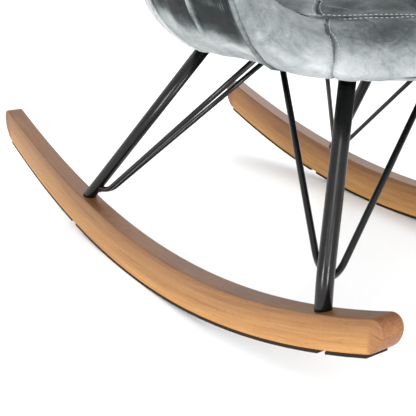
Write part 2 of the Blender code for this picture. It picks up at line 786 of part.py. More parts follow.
def dust_cover(name, mat):
    """Thin sheet stapled under the middle of the pan, inside the bolts."""
    top = SHELL_BOTTOM - COVER_GAP - COVER_THICK - GAP
    low = top - 0.0012
    hx, y0, y1 = 0.098, FRAME_Y_FRONT + 0.022, FRAME_Y_REAR - 0.022
    outline = []
    for cx, cy, start in ((hx, y1, 0), (-hx, y1, 90), (-hx, y0, 180), (hx, y0, 270)):
        r = 0.015
        ox = cx - math.copysign(r, cx)
        oy = cy - r if cy == y1 else cy + r
        for k in range(4):
            t = math.radians(start + 30 * k)
            outline.append((ox + r * math.cos(t), oy + r * math.sin(t)))
    count = len(outline)
    points = [(x, y, low) for x, y in outline] + [(x, y, top) for x, y in outline]
    faces = [tuple(range(count)), tuple(range(2 * count - 1, count - 1, -1))]
    faces += [(i, (i + 1) % count, (i + 1) % count + count, i + count) for i in range(count)]
    return add(name, points, faces, mat)


# ---- assembly ----
def centre_on_floor():
    """Moves every mesh so that the chair stands on z = 0 with its bounding box centred."""
    shown = [o for o in bpy.data.objects if not o.hide_render]
    points = [v.co for o in shown for v in o.data.vertices]
    mid_y = (min(p.y for p in points) + max(p.y for p in points)) / 2
    low = min(p.z for p in points)
    for obj in bpy.data.objects:
        obj.data.transform(Matrix.Translation((0.0, -mid_y, -low)))


def build():
    for obj in list(bpy.data.objects):
        bpy.data.objects.remove(obj, do_unlink=True)
    beech = material("beech", (0.62, 0.38, 0.19), 0.5)
    felt = material("felt", (0.02, 0.02, 0.02), 0.95)
    black = material("black_steel", (0.015, 0.015, 0.016), 0.35, 0.6)
    zinc = material("zinc_steel", (0.55, 0.55, 0.56), 0.35, 1.0)
    brass = material("brass_insert", (0.70, 0.52, 0.22), 0.35, 1.0)
    rubber = material("rubber", (0.03, 0.03, 0.03), 0.8)
    shell_mat = material("moulded_shell", (0.10, 0.10, 0.11), 0.55)
    foam_mat = material("foam", (0.86, 0.82, 0.68), 0.95)
    velvet = material("velvet", (0.46, 0.49, 0.50), 0.8)
    trim = material("velvet_piping", (0.36, 0.39, 0.40), 0.8)
    lining = material("dust_lining", (0.03, 0.03, 0.03), 0.95)

    for side, word in ((-1, "left"), (1, "right")):
        rocker(f"rocker_{word}", side, beech)
        joints = STRIP_JOINTS_LEFT if side < 0 else STRIP_JOINTS_RIGHT
        for place, ends in zip(("rear", "middle", "front"), joints):
            grip_strip(f"grip_strip_{place}_{word}", side, ends, felt)
        for y, end in ((REAR_LEG_Y, "rear"), (FRONT_LEG_Y, "front")):
            leg(f"leg_tube_{end}_{word}", side, y, black)
            leg_bolt(f"leg_bolt_{end}_{word}", side, y, zinc)
            brace(f"brace_wire_{end}_{word}_side", side, y, True, black)
            brace(f"brace_wire_{end}_{word}_cross", side, y, False, black)
    seat_frame("seat_frame", black)
    seat_fasteners(rubber, zinc, brass)

    us = full_us()
    vs = list(V_LINES)
    shell = grid_slab("seat_shell", us, vs, shifted(-SHELL_THICK), shifted(0.0), shell_mat)
    drill(shell, shell_mat, INSERT_RADIUS + 0.0003, "shell")
    grid_slab("seat_foam", us, vs, shifted(GAP), foam_top, foam_mat)
    outer_high = -SHELL_THICK - COVER_GAP
    cover = grid_slab("outer_cover", us, vs, shifted(outer_high - COVER_THICK), shifted(outer_high), velvet)
    drill(cover, velvet, BOLT_RADIUS + 0.0006, "cover")
    panels(velvet)
    rim_piping("rim_piping", trim)
    dust_cover("dust_cover", lining)
    centre_on_floor()


build()
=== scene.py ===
"""Looks of the rocking chair: velvet bucket seat, black steel legs and braces, beech rockers."""

import math

import bpy
import bmesh
import numpy as np
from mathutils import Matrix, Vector


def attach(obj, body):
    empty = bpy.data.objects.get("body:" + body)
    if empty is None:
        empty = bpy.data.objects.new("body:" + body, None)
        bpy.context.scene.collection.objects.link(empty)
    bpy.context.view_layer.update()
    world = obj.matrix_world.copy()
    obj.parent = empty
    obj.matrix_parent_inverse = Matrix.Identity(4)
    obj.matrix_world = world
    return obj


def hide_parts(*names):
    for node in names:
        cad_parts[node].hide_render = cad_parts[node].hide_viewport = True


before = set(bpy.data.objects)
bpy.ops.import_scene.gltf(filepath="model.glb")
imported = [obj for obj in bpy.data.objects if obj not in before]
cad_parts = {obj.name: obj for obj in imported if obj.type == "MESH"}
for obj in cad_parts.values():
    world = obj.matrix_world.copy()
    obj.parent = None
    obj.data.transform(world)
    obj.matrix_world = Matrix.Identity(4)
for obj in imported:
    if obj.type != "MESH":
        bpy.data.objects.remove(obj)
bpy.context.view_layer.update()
ROOT = "root"
SHIFT_Y = 0.010834  # the CAD is centred on the middle of its own box

# ---- sizes, in metres, as in the CAD ----
GAP = 0.0003
ROCKER_SPACING = 0.432
ROCKER_WIDTH = 0.0222
ROCKER_FRONT = -0.3915
ROCKER_REAR = 0.3775
BOTTOM_CURVE = (0.0, 0.0, 0.5299, -0.1343, -0.0484)
TOP_CURVE = (0.0483, 0.0301, 0.4675, -0.2011, 0.0248)
STRIP_THICK = 0.0028
REAR_LEG_Y = 0.118
FRONT_LEG_Y = -0.331
LEG_RADIUS = 0.0072
HEEL_FRONT = 0.026
FRAME_REAR = (0.134, -0.055)
FRAME_FRONT = (0.150, -0.283)
WIRE_RADIUS = 0.0029
WIRE_HOOK = 0.015
WIRE_TURN = 0.010
HOOK_FRONT = 0.0255
HOOK_REAR = 0.014
HOOK_STEP = 0.0065
WIRE_END_GAP = 0.020
CROSS_END_GAP = 0.048
FRAME_BOTTOM = 0.2680
SHELL_TOP = 0.2680 + 0.0040 + 0.0080 + 2 * GAP + 0.0012 + 0.0010 + 0.0050
SEAT_CENTRE_Y = -0.130
FOAM_SEAT = 0.036
FOAM_WALL = 0.033
FOAM_BACK = 0.017
FOAM_EDGE = 0.0022
PAD_ROUND = 0.055
SECTIONS = (
    (-90.0, 0.225, 0.300, 12.0, 0.2850, 0.178),
    (-60.0, 0.236, 0.200, 20.0, 0.2900, 0.206),
    (-45.0, 0.244, 0.120, 45.0, 0.2900, 0.214),
    (-38.0, 0.236, 0.085, 64.0, 0.2870, 0.208),
    (-31.0, 0.214, 0.080, 70.0, 0.3020, 0.200),
    (-24.0, 0.199, 0.080, 74.0, 0.3500, 0.188),
    (-8.0, 0.180, 0.072, 78.0, 0.4080, 0.170),
    (8.0, 0.168, 0.058, 80.0, 0.4350, 0.165),
    (30.0, 0.164, 0.050, 80.0, 0.4600, 0.172),
    (52.0, 0.136, 0.070, 79.0, 0.6100, 0.135),
    (72.0, 0.132, 0.105, 75.0, 0.8150, 0.110),
    (90.0, 0.136, 0.120, 73.0, 0.8750, 0.100),
)
PAN_DIP = 0.0065
DIP_WIDTH = 0.040
CORNER_WARP = 12.0
WALL_BLEND = 0.12

# ---- camera and light ----
LENS = 65.76
CAMERA_PLACE = (-0.5690, -0.72032, 0.3844)
CAMERA_TURN = (69.354, 0.0, -32.617)
WORLD_STRENGTH = 1.2
FLOOR_HALF = 14.0
FLOOR_POINTS = 24


# ---- seat surfaces ----
def smooth(t):
    t = np.clip(t, 0.0, 1.0)
    return t * t * (3 - 2 * t)


def section(theta):
    """Flat run, bend radius, lean, whole run and dip start in plan directions theta, in degrees."""
    rows = np.array(SECTIONS)
    xs = rows[:, 0]
    t = np.clip(theta, xs[0], xs[-1])
    i = np.clip(np.searchsorted(xs, t) - 1, 0, len(xs) - 2)
    h = (xs[1:] - xs[:-1])[i]
    k = (t - xs[i]) / h
    found = []
    for column in range(1, 6):
        ys = rows[:, column]
        slopes = np.diff(ys) / np.diff(xs)
        tangents = np.zeros(len(xs))
        turning = slopes[:-1] * slopes[1:] > 0
        tangents[1:-1][turning] = (2 * slopes[:-1] * slopes[1:] / (slopes[:-1] + slopes[1:] + 1e-30))[turning]
        a = (1 + 2 * k) * (1 - k) ** 2
        b = k * (1 - k) ** 2
        c = k * k * (3 - 2 * k)
        d = k * k * (k - 1)
        found.append(a * ys[i] + b * h * tangents[i] + c * ys[i + 1] + d * h * tangents[i + 1])
    return found


def fold(theta):
    """The same direction on the right half of the chair, from -90 to 90 degrees."""
    theta = (np.asarray(theta, float) + 180.0) % 360.0 - 180.0
    return np.where(theta > 90.0, 180.0 - theta, np.where(theta < -90.0, -180.0 - theta, theta))


def disc(u, v):
    """Square panel coordinates to plan direction in degrees and share of the run."""
    u, v = np.broadcast_arrays(np.asarray(u, float), np.asarray(v, float))
    ring = np.maximum(abs(u), abs(v)) + 1e-12
    sx = u * np.sqrt(1 - v * v / 2)
    sy = v * np.sqrt(1 - u * u / 2)
    wide = abs(u) >= abs(v)
    angle = math.pi / 4 * np.where(wide, v / (abs(u) + 1e-12), u / (abs(v) + 1e-12))
    rx = np.where(wide, np.copysign(np.cos(angle), u), np.sin(angle)) * ring
    ry = np.where(wide, np.sin(angle), np.copysign(np.cos(angle), v)) * ring
    weight = np.clip(ring, 0, 1) ** 4
    x = sx * (1 - weight) + rx * weight
    y = sy * (1 - weight) + ry * weight
    right = np.degrees(np.arctan2(y, abs(x)))
    right = right - CORNER_WARP * np.sin(2 * np.radians(right))
    turn = np.where(x >= 0, right, np.where(right >= 0, 180.0 - right, -180.0 - right))
    return turn, np.minimum(np.hypot(x, y), 1.0)


def place(turn, s):
    """Points of the shell's upper face, s along the run in plan direction turn."""
    flat, bend, lean, run, dip = section(fold(turn))
    lean = np.radians(lean)
    a = np.clip((s - flat) / bend, 0.0, lean)
    rest = np.maximum(s - flat - bend * lean, 0.0)
    reach = np.minimum(s, flat) + bend * np.sin(a) + rest * np.cos(lean)
    rise = bend * (1 - np.cos(a)) + rest * np.sin(lean)
    rise = rise - PAN_DIP * smooth((s - dip) / DIP_WIDTH)
    theta = np.radians(turn)
    y = SEAT_CENTRE_Y + SHIFT_Y + reach * np.sin(theta)
    return np.stack([reach * np.cos(theta), y, SHELL_TOP + rise], -1)


def normal(turn, s):
    """Unit directions from the shell towards the sitter."""
    s = np.maximum(s, 0.05)
    n = np.cross(place(turn, s + 1e-3) - place(turn, s - 1e-3), place(turn + 0.5, s) - place(turn - 0.5, s))
    n = n / np.linalg.norm(n, axis=-1, keepdims=True)
    inside = np.array((0.0, SEAT_CENTRE_Y + SHIFT_Y, SHELL_TOP + 0.5)) - place(turn, s)
    return n * np.sign(np.sum(n * inside, axis=-1, keepdims=True))


def padding(turn, share):
    """Foam thickness over the shell."""
    flat, _, _, run, _ = section(fold(turn))
    up = smooth((share * run - flat) / WALL_BLEND)
    wall = FOAM_WALL + FOAM_BACK * np.maximum(np.sin(np.radians(fold(turn))), 0.0) ** 3
    full = FOAM_SEAT + (wall - FOAM_SEAT) * up
    t = 1 - np.minimum((1 - share) * run / PAD_ROUND, 1.0)
    return FOAM_EDGE + (full - FOAM_EDGE) * np.sqrt(np.maximum(1 - t * t, 0.0))


# ---- camera ----
def add_camera():
    data = bpy.data.cameras.new("camera")
    data.lens = LENS
    data.sensor_width = 36.0
    data.clip_start = 0.05
    obj = bpy.data.objects.new("camera", data)
    obj.location = CAMERA_PLACE
    obj.rotation_euler = [math.radians(turn) for turn in CAMERA_TURN]
    bpy.context.scene.collection.objects.link(obj)
    bpy.context.scene.camera = obj


add_camera()


# ---- materials ----
WHITE = (1.0, 1.0, 1.0)


def srgb(*levels):
    """Screen levels from 0 to 255 as a linear colour."""
    shares = [level / 255.0 for level in levels]
    return (*(c / 12.92 if c <= 0.04045 else ((c + 0.055) / 1.055) ** 2.4 for c in shares), 1.0)


class Nodes:
    """A small helper to build one node material."""

    def __init__(self, name, **sockets):
        self.mat = bpy.data.materials.new(name)
        self.mat.use_nodes = True
        self.tree = self.mat.node_tree
        self.shader = self.tree.nodes["Principled BSDF"]
        for key, value in sockets.items():
            self.shader.inputs[key.replace("_", " ")].default_value = value

    def add(self, kind, **values):
        node = self.tree.nodes.new(kind)
        for key, value in values.items():
            if hasattr(node, key):
                setattr(node, key, value)
            else:
                node.inputs[key].default_value = value
        return node

    def link(self, out, into):
        self.tree.links.new(out, into)

    def place(self, scale=(1.0, 1.0, 1.0), attribute=None, turn=(0.0, 0.0, 0.0)):
        """Object coordinates, or a stored vector, scaled along each axis."""
        if attribute:
            out = self.add("ShaderNodeAttribute", attribute_name=attribute).outputs["Vector"]
        else:
            out = self.add("ShaderNodeTexCoord").outputs["Object"]
        mapping = self.add("ShaderNodeMapping")
        mapping.inputs["Scale"].default_value = scale
        mapping.inputs["Rotation"].default_value = turn
        self.link(out, mapping.inputs["Vector"])
        return mapping.outputs["Vector"]

    def noise(self, vector, scale, detail=3.0, rough=0.5, twist=0.0):
        node = self.add("ShaderNodeTexNoise", Scale=scale, Detail=detail, Roughness=rough, Distortion=twist)
        self.link(vector, node.inputs["Vector"])
        return node.outputs["Fac"]

    def ramp(self, fac, *stops):
        node = self.add("ShaderNodeValToRGB")
        ends = node.color_ramp.elements
        while len(ends) < len(stops):
            ends.new(0.5)
        for end, (place, color) in zip(ends, stops):
            end.position = place
            end.color = color if len(color) == 4 else (*color, 1.0)
        self.link(fac, node.inputs["Fac"])
        return node.outputs["Color"]

    def math(self, kind, a, b):
        node = self.add("ShaderNodeMath", operation=kind)
        for socket, value in zip(node.inputs, (a, b)):
            if isinstance(value, (int, float)):
                socket.default_value = value
            else:
                self.link(value, socket)
        return node.outputs[0]

    def mix(self, kind, fac, a, b):
        node = self.add("ShaderNodeMix", data_type="RGBA", blend_type=kind)
        for socket, value in zip((node.inputs[0], node.inputs[6], node.inputs[7]), (fac, a, b)):
            if isinstance(value, (int, float, tuple)):
                socket.default_value = value
            else:
                self.link(value, socket)
        return node.outputs[2]

    def attribute(self, name):
        return self.add("ShaderNodeAttribute", attribute_name=name).outputs["Fac"]

    def bump(self, *layers):
        """Each layer is (height, strength, distance in metres)."""
        before = None
        for height, strength, distance in layers:
            node = self.add("ShaderNodeBump", Strength=strength, Distance=distance)
            self.link(height, node.inputs["Height"])
            if before is not None:
                self.link(before, node.inputs["Normal"])
            before = node.outputs["Normal"]
        self.link(before, self.shader.inputs["Normal"])

    def color(self, out):
        self.link(out, self.shader.inputs["Base Color"])

    def rough(self, out, low, high):
        node = self.add("ShaderNodeMapRange", clamp=True)
        node.inputs["To Min"].default_value = low
        node.inputs["To Max"].default_value = high
        self.link(out, node.inputs["Value"])
        self.link(node.outputs[0], self.shader.inputs["Roughness"])


def beech():
    """Oiled beech: long grain, short flecks, painted shade darkening and browning the top face, and redder
    end grain.
    """
    n = Nodes("beech", Roughness=0.5, Specular_IOR_Level=0.35, Coat_Weight=0.08, Coat_Roughness=0.35)
    long = n.noise(n.place((60.0, 5.0, 240.0), "grain"), 1.0, 5.0, 0.6, 0.6)
    fine = n.noise(n.place((500.0, 22.0, 900.0), "grain"), 1.0, 3.0, 0.6)
    broad = n.noise(n.place((9.0, 3.0, 14.0), "grain"), 1.0, 2.0, 0.5)
    fleck = n.noise(n.place((300.0, 130.0, 2200.0), "grain"), 1.0, 1.0, 0.4)
    side = n.ramp(long, (0.30, srgb(153, 107, 57)), (0.50, srgb(176, 131, 74)), (0.72, srgb(187, 147, 88)))
    side = n.mix("MULTIPLY", 0.55, side, n.ramp(fine, (0.25, srgb(205, 190, 175)), (0.60, WHITE)))
    side = n.mix("MULTIPLY", 0.50, side, n.ramp(broad, (0.30, srgb(222, 198, 176)), (0.65, WHITE)))
    side = n.mix("MULTIPLY", 0.60, side, n.ramp(fleck, (0.27, srgb(178, 140, 108)), (0.36, WHITE)))
    # painted shade: where the top attribute is set, the wood is multiplied darker and browner
    top = n.mix("MULTIPLY", n.attribute("top"), side, srgb(150, 128, 116))
    ends = n.ramp(fine, (0.35, srgb(100, 60, 33)), (0.65, srgb(132, 88, 52)))
    wood = n.mix("MIX", n.attribute("end"), top, ends)
    n.color(n.mix("MULTIPLY", n.attribute("wear"), wood, srgb(196, 160, 132)))
    n.rough(long, 0.42, 0.60)
    n.bump((fine, 0.25, 0.0003), (long, 0.20, 0.0006), (fleck, 0.15, 0.0002))
    return n.mat


def powder_black():
    """Semi-gloss black powder coat with its fine orange peel."""
    n = Nodes("black_steel", Metallic=0.0, Specular_IOR_Level=0.30)
    peel = n.noise(n.place(), 1400.0, 2.0, 0.5)
    cloud = n.noise(n.place(), 60.0, 4.0, 0.6)
    n.color(n.ramp(cloud, (0.3, (0.0016, 0.0016, 0.00168)), (0.7, (0.0028, 0.0028, 0.0028))))
    n.rough(cloud, 0.15, 0.30)
    n.bump((peel, 0.12, 0.0002), (cloud, 0.05, 0.0008))
    return n.mat


def felt():
    """Dense black felt: matted fibres in small tufts."""
    n = Nodes("felt", Roughness=0.95, Sheen_Weight=0.06, Sheen_Roughness=0.5, Specular_IOR_Level=0.15)
    fibre = n.noise(n.place((1.0, 0.35, 1.0)), 1800.0, 5.0, 0.75)
    tuft = n.noise(n.place(), 260.0, 3.0, 0.6)
    n.color(n.ramp(fibre, (0.3, (0.002, 0.002, 0.002)), (0.75, (0.012, 0.012, 0.012))))
    n.bump((fibre, 0.7, 0.0005), (tuft, 0.4, 0.0006))
    return n.mat


def velvet(name="velvet", lift=0.0):
    """Silver-grey crushed velvet. The stored tone attribute holds painted sheen, painted highlights and
    painted shade, with some random mottling; the noise is its mottling.
    """
    n = Nodes(name, Roughness=0.72, Specular_IOR_Level=0.20, Sheen_Weight=0.14, Sheen_Roughness=0.30)
    n.shader.inputs["Sheen Tint"].default_value = (0.90, 0.96, 0.97, 1.0)
    cloud = n.noise(n.place(), 24.0, 4.0, 0.62, 0.8)
    brush = n.noise(n.place((1.0, 0.35, 0.8), None, (0.3, 0.2, 0.6)), 120.0, 4.0, 0.65, 1.2)
    speck = n.noise(n.place(), 900.0, 2.0, 0.6)
    pile = n.noise(n.place(), 3800.0, 2.0, 0.6)
    # painted light: the stored tone sets how light or shaded each place of the velvet looks
    painted_lightness = n.math("ADD", n.attribute("painted_light_and_tone"), lift)
    for layer, amount in ((cloud, 0.62), (brush, 0.42), (speck, 0.22)):
        painted_lightness = n.math("ADD", painted_lightness, n.math("MULTIPLY", n.math("SUBTRACT", layer, 0.5), amount))
    tones = (
        (0.05, (0.008, 0.010, 0.011)),
        (0.30, (0.045, 0.054, 0.056)),
        (0.55, (0.150, 0.168, 0.170)),
        (0.80, (0.285, 0.305, 0.308)),
        (1.0, (0.40, 0.425, 0.425)),
    )
    n.color(n.ramp(painted_lightness, *tones))
    n.rough(painted_lightness, 0.82, 0.60)
    n.bump((pile, 0.35, 0.0004), (brush, 0.22, 0.0010), (cloud, 0.10, 0.0020))
    return n.mat


def thread():
    """Light grey twisted sewing thread."""
    n = Nodes("thread", Roughness=0.6, Sheen_Weight=0.3, Specular_IOR_Level=0.4)
    twist = n.noise(n.place(), 2500.0, 2.0, 0.5)
    n.color(n.ramp(twist, (0.3, srgb(130, 136, 138)), (0.7, srgb(170, 176, 176))))
    n.bump((twist, 0.5, 0.0002))
    return n.mat


def metal(name, color, rough):
    """Plated or turned metal with faint stains."""
    n = Nodes(name, Metallic=1.0)
    turned = n.noise(n.place((1.0, 1.0, 6.0)), 700.0, 3.0, 0.6)
    stain = n.noise(n.place(), 90.0, 3.0, 0.6)
    dark = tuple(c * 0.72 for c in color)
    n.color(n.ramp(stain, (0.3, dark), (0.7, color)))
    n.rough(turned, rough - 0.08, rough + 0.12)
    n.bump((turned, 0.15, 0.0002))
    return n.mat


def plastic(name, color, rough):
    """Moulded plastic or rubber with a fine grained skin."""
    n = Nodes(name, Specular_IOR_Level=0.45)
    skin = n.noise(n.place(), 900.0, 3.0, 0.6)
    tone = n.noise(n.place(), 30.0, 3.0, 0.5)
    n.color(n.ramp(tone, (0.3, tuple(c * 0.85 for c in color)), (0.7, color)))
    n.rough(tone, rough - 0.06, rough + 0.08)
    n.bump((skin, 0.2, 0.0003))
    return n.mat


def lining():
    """Black non-woven cloth, point-bonded in a small grid."""
    n = Nodes("dust_lining", Roughness=0.9, Sheen_Weight=0.2, Specular_IOR_Level=0.2)
    fibre = n.noise(n.place((1.0, 0.5, 1.0)), 1500.0, 4.0, 0.7)
    dots = n.add("ShaderNodeTexVoronoi", Scale=420.0, Randomness=0.0)
    n.link(n.place((1.0, 1.0, 0.0)), dots.inputs["Vector"])
    n.color(n.ramp(fibre, (0.3, (0.010, 0.010, 0.011)), (0.7, (0.030, 0.030, 0.032))))
    n.bump((fibre, 0.4, 0.0003), (dots.outputs["Distance"], 0.4, 0.0004))
    return n.mat


BEECH = beech()
BLACK = powder_black()
FELT = felt()
VELVET = velvet()
PIPING = velvet("velvet_piping", 0.02)
THREAD = thread()
ZINC = metal("zinc_steel", (0.62, 0.63, 0.65), 0.34)
BRASS = metal("brass_insert", (0.72, 0.52, 0.24), 0.30)
RUBBER = plastic("rubber_spacer", (0.018, 0.018, 0.019), 0.72)
SHELL = plastic("moulded_shell", (0.045, 0.045, 0.048), 0.48)
LINING = lining()


# ---- mesh helpers ----
def piece(name, points, faces, material, replaced=(), values=None, vectors=None):
    """A mesh piece that rides on the chair and takes the given material as its finish."""
    name = f"shown_{name}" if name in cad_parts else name
    mesh = bpy.data.meshes.new(name)
    flat_points = np.asarray(points, float).reshape(-1, 3).tolist()
    mesh.from_pydata(flat_points, [], [tuple(map(int, face)) for face in faces])
    mesh.update()
    for key, data in (values or {}).items():
        layer = mesh.attributes.new(key, "FLOAT", "POINT")
        layer.data.foreach_set("value", np.ascontiguousarray(data, dtype=np.float32).reshape(-1))
    for key, data in (vectors or {}).items():
        layer = mesh.attributes.new(key, "FLOAT_VECTOR", "POINT")
        layer.data.foreach_set("vector", np.ascontiguousarray(data, dtype=np.float32).reshape(-1))
    work = bmesh.new()
    work.from_mesh(mesh)
    bmesh.ops.remove_doubles(work, verts=work.verts, dist=1e-6)
    bmesh.ops.dissolve_degenerate(work, edges=work.edges, dist=1e-7)
    bmesh.ops.recalc_face_normals(work, faces=work.faces)
    work.to_mesh(mesh)
    work.free()
    mesh.polygons.foreach_set("use_smooth", [True] * len(mesh.polygons))
    mesh.materials.append(material)
    obj = bpy.data.objects.new(name, mesh)
    bpy.context.scene.collection.objects.link(obj)
    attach(obj, ROOT)
    if replaced:
        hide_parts(*replaced)
    return obj


def quads(rows, columns, wrap_columns=False, start=0):
    """Faces of a grid of rows x columns points, its last column joined to the first if it wraps."""
    faces = []
    last = columns if wrap_columns else columns - 1
    for j in range(rows - 1):
        for i in range(last):
            k = (i + 1) % columns
            a = start + j * columns
            b = a + columns
            faces.append((a + i, a + k, b + k, b + i))
    return faces


def lattice(cells, seed):
    """A fixed number from 0 to 1 for each whole-number cell, by integer hashing."""
    n = (cells[..., 0] * 73856093) ^ (cells[..., 1] * 19349663)
    n = (n ^ (cells[..., 2] * 83492791) ^ (seed * 2654435761)) & 0xFFFFFFFF
    n = ((n ^ (n >> 13)) * 1274126177) & 0xFFFFFFFF
    return ((n ^ (n >> 16)) & 0xFFFF) / 65535.0


def wave(points, size, seed):
    """Smooth noise from -1 to 1 with lumps of one size, in metres."""
    p = np.asarray(points) / size
    low = np.floor(p).astype(np.int64)
    t = p - low
    t = t * t * (3 - 2 * t)
    total = 0.0
    for corner in range(8):
        step = np.array(((corner >> 2) & 1, (corner >> 1) & 1, corner & 1))
        share = np.prod(np.where(step, t, 1 - t), axis=-1)
        total = total + share * lattice(low + step, seed)
    return total * 2 - 1


def sweep(path, radius, sides, closed=False):
    """Rings of points along a path without twist, of one radius or of one for each point."""
    path = np.asarray(path, float)
    ahead = np.roll(path, -1, 0) - np.roll(path, 1, 0)
    if not closed:
        ahead[0] = path[1] - path[0]
        ahead[-1] = path[-1] - path[-2]
    ahead /= np.linalg.norm(ahead, axis=1, keepdims=True)
    radius = np.broadcast_to(radius, len(path))
    side = np.array(Vector(ahead[0]).orthogonal().normalized())
    turns = np.linspace(0, 2 * math.pi, sides, endpoint=False)
    rings = []
    for here, way, r in zip(path, ahead, radius):
        side = side - way * (side @ way)
        side /= np.linalg.norm(side)
        other = np.cross(way, side)
        rings.append(here + r * (np.cos(turns)[:, None] * side + np.sin(turns)[:, None] * other))
    return np.array(rings)


def tube_faces(count, sides, closed=False, start=0):
    """Faces of a tube of rings: joined end to end if closed, or else capped."""
    faces = quads(count, sides, True, start)
    if closed:
        a = start + (count - 1) * sides
        faces += [(a + i, a + (i + 1) % sides, start + (i + 1) % sides, start + i) for i in range(sides)]
    else:
        faces.append(tuple(start + i for i in range(sides - 1, -1, -1)))
        last = start + (count - 1) * sides
        faces.append(tuple(last + i for i in range(sides)))
    return faces


# ---- rockers ----
def curve(coefficients, y):
    return sum(c * y**k for k, c in enumerate(coefficients))


def slope(coefficients, y):
    return sum(k * c * y ** (k - 1) for k, c in enumerate(coefficients) if k)


ROCKER_STEPS = 150
ROCKER_EDGE = 0.0012
EDGE_STEPS = 5
END_STEPS = 18
BULLNOSE = 0.92


def nose(low, high, sign):
    """Points round a rocker's end, from its tread up to its top face."""
    middle = (low + high) / 2
    half = (high - low) / 2
    out = sign * np.linalg.norm(half) * BULLNOSE
    out = np.array((out, out * slope(TOP_CURVE, low[0])))
    turns = np.pi * (np.arange(1, END_STEPS + 1) / (END_STEPS + 1) - 0.5)
    return middle + np.sin(turns)[:, None] * half + np.cos(turns)[:, None] * out


def rocker(name, side):
    """Solid beech rocker with rounded edges and bullnose ends."""
    ys = np.linspace(ROCKER_FRONT, ROCKER_REAR, ROCKER_STEPS)
    low = np.stack([ys, curve(BOTTOM_CURVE, ys) + STRIP_THICK + GAP], 1)
    high = np.stack([ys, curve(TOP_CURVE, ys)], 1)

    rear = nose(low[-1], high[-1], 1)
    front = nose(low[0], high[0], -1)
    outline = np.concatenate([low, rear, high[::-1], front[::-1]])
    count = len(outline)
    ahead = np.roll(outline, -1, 0) - np.roll(outline, 1, 0)
    ahead /= np.linalg.norm(ahead, axis=1, keepdims=True)
    inward = np.stack([-ahead[:, 1], ahead[:, 0]], 1)
    outer = side * ROCKER_SPACING / 2
    inner = side * (ROCKER_SPACING / 2 - ROCKER_WIDTH)
    layers = []
    for face, other in ((inner, outer), (outer, inner)):
        away = math.copysign(1.0, face - other)
        turns = np.linspace(0, math.pi / 2, EDGE_STEPS)
        for turn in turns[::-1] if face == inner else turns:
            x = face - away * ROCKER_EDGE * (1 - math.sin(turn))
            inset = ROCKER_EDGE * (1 - math.cos(turn))
            shrunk = outline + inward * inset
            layers.append(np.column_stack([np.full(count, x), shrunk[:, 0] + SHIFT_Y, shrunk[:, 1]]))
    points = np.concatenate(layers)
    faces = quads(len(layers), count, True)
    for start in (0, (len(layers) - 1) * count):
        top = start + ROCKER_STEPS + END_STEPS
        for i in range(ROCKER_STEPS - 1):
            above = top + ROCKER_STEPS - 1 - i
            faces.append((start + i, start + i + 1, above - 1, above))
        faces.append(tuple(range(start + ROCKER_STEPS - 1, start + ROCKER_STEPS + END_STEPS + 1)))
        last = [start + 2 * ROCKER_STEPS + END_STEPS - 1 + i for i in range(END_STEPS + 1)] + [start]
        faces.append(tuple(last))
    y = points[:, 1] - SHIFT_Y
    along = y + 0.35 * np.abs(y) ** 2 * np.sign(y)
    height = points[:, 2] - curve(BOTTOM_CURVE, np.clip(y, ROCKER_FRONT, ROCKER_REAR))
    # painted shade mask: faces that look upwards get the darker, browner top colour
    facing = np.tile(-inward[:, 1], len(layers))
    top = smooth((facing - 0.2) / 0.5)
    beyond = np.maximum(ROCKER_FRONT - y, y - ROCKER_REAR)
    end = smooth((beyond + 0.001) / 0.006) * 0.85
    flat = (np.abs(points[:, 0] - inner) < 1e-6) | (np.abs(points[:, 0] - outer) < 1e-6)
    edge = np.where(flat, 0.0, 0.35) * np.clip(0.6 + 0.8 * wave(points, 0.03, 5), 0, 1)
    # top carries the painted shade of the top face; end marks the end grain; wear darkens the rounded edges
    values = {"top": top * 0.85, "end": end, "wear": edge}
    grain = np.column_stack([points[:, 0] + side * 0.37, along + 0.21 * side, height])
    made = piece(name, points, faces, BEECH, (name,), values, {"grain": grain})
    made.modifiers.new("normals", "WEIGHTED_NORMAL").keep_sharp = True
    return made


for side, tag in ((-1, "left"), (1, "right")):
    rocker(f"rocker_{tag}", side)


# ---- legs and braces ----
def leg_foot(side, y):
    """Centre of a leg's foot on its rocker, and the direction straight up."""
    x = side * (ROCKER_SPACING - ROCKER_WIDTH) / 2
    return Vector((x, y, curve(TOP_CURVE, y))), Vector((0.0, 0.0, 1.0))


def frame_corner(side, y):
    """Where a leg meets the underside of the seat frame."""
    x, fy = FRAME_REAR if y == REAR_LEG_Y else FRAME_FRONT
    return Vector((side * x, fy, FRAME_BOTTOM - GAP))


def leg_path(side, y):
    """Points along a leg's axis, and its direction above the heel."""
    foot, up = leg_foot(side, y)
    top = frame_corner(side, y)
    if y == REAR_LEG_Y:
        lean = (top - foot).normalized()
        return [foot - lean * 0.004, foot + lean * 0.004, foot + lean * 0.10, top], lean
    heel = foot + up * HEEL_FRONT
    lean = (top - heel).normalized()
    bend = 0.012
    path = [foot - up * 0.001, foot + up * 0.004, heel - up * bend]
    for k in np.linspace(0, 1, 12)[1:-1]:
        a = heel - up * bend * (1 - k)
        b = heel + lean * bend * k
        path.append(a * (1 - k) + b * k)
    return path + [heel + lean * bend, heel + lean * 0.10, top], lean


def moved(path):
    """A path of the CAD's own measures, in the frame's coordinates."""
    return np.array([(p[0], p[1] + SHIFT_Y, p[2]) for p in path])


LEG_SIDES = 48
WIRE_SIDES = 24


def flat_caps(obj):
    """Leaves the many-sided end faces of a tube flat."""
    for face in obj.data.polygons:
        face.use_smooth = len(face.vertices) < 5


def leg(name, side, y):
    """Steel leg tube, cut level under the seat frame."""
    path, lean = leg_path(side, y)
    rings = sweep(moved(path), LEG_RADIUS, LEG_SIDES)
    lean = np.array(lean)
    level = FRAME_BOTTOM - GAP
    rings[-1] += ((level - rings[-1][:, 2]) / lean[2])[:, None] * lean
    flat_caps(piece(name, rings, tube_faces(len(rings), LEG_SIDES), BLACK, (name,)))


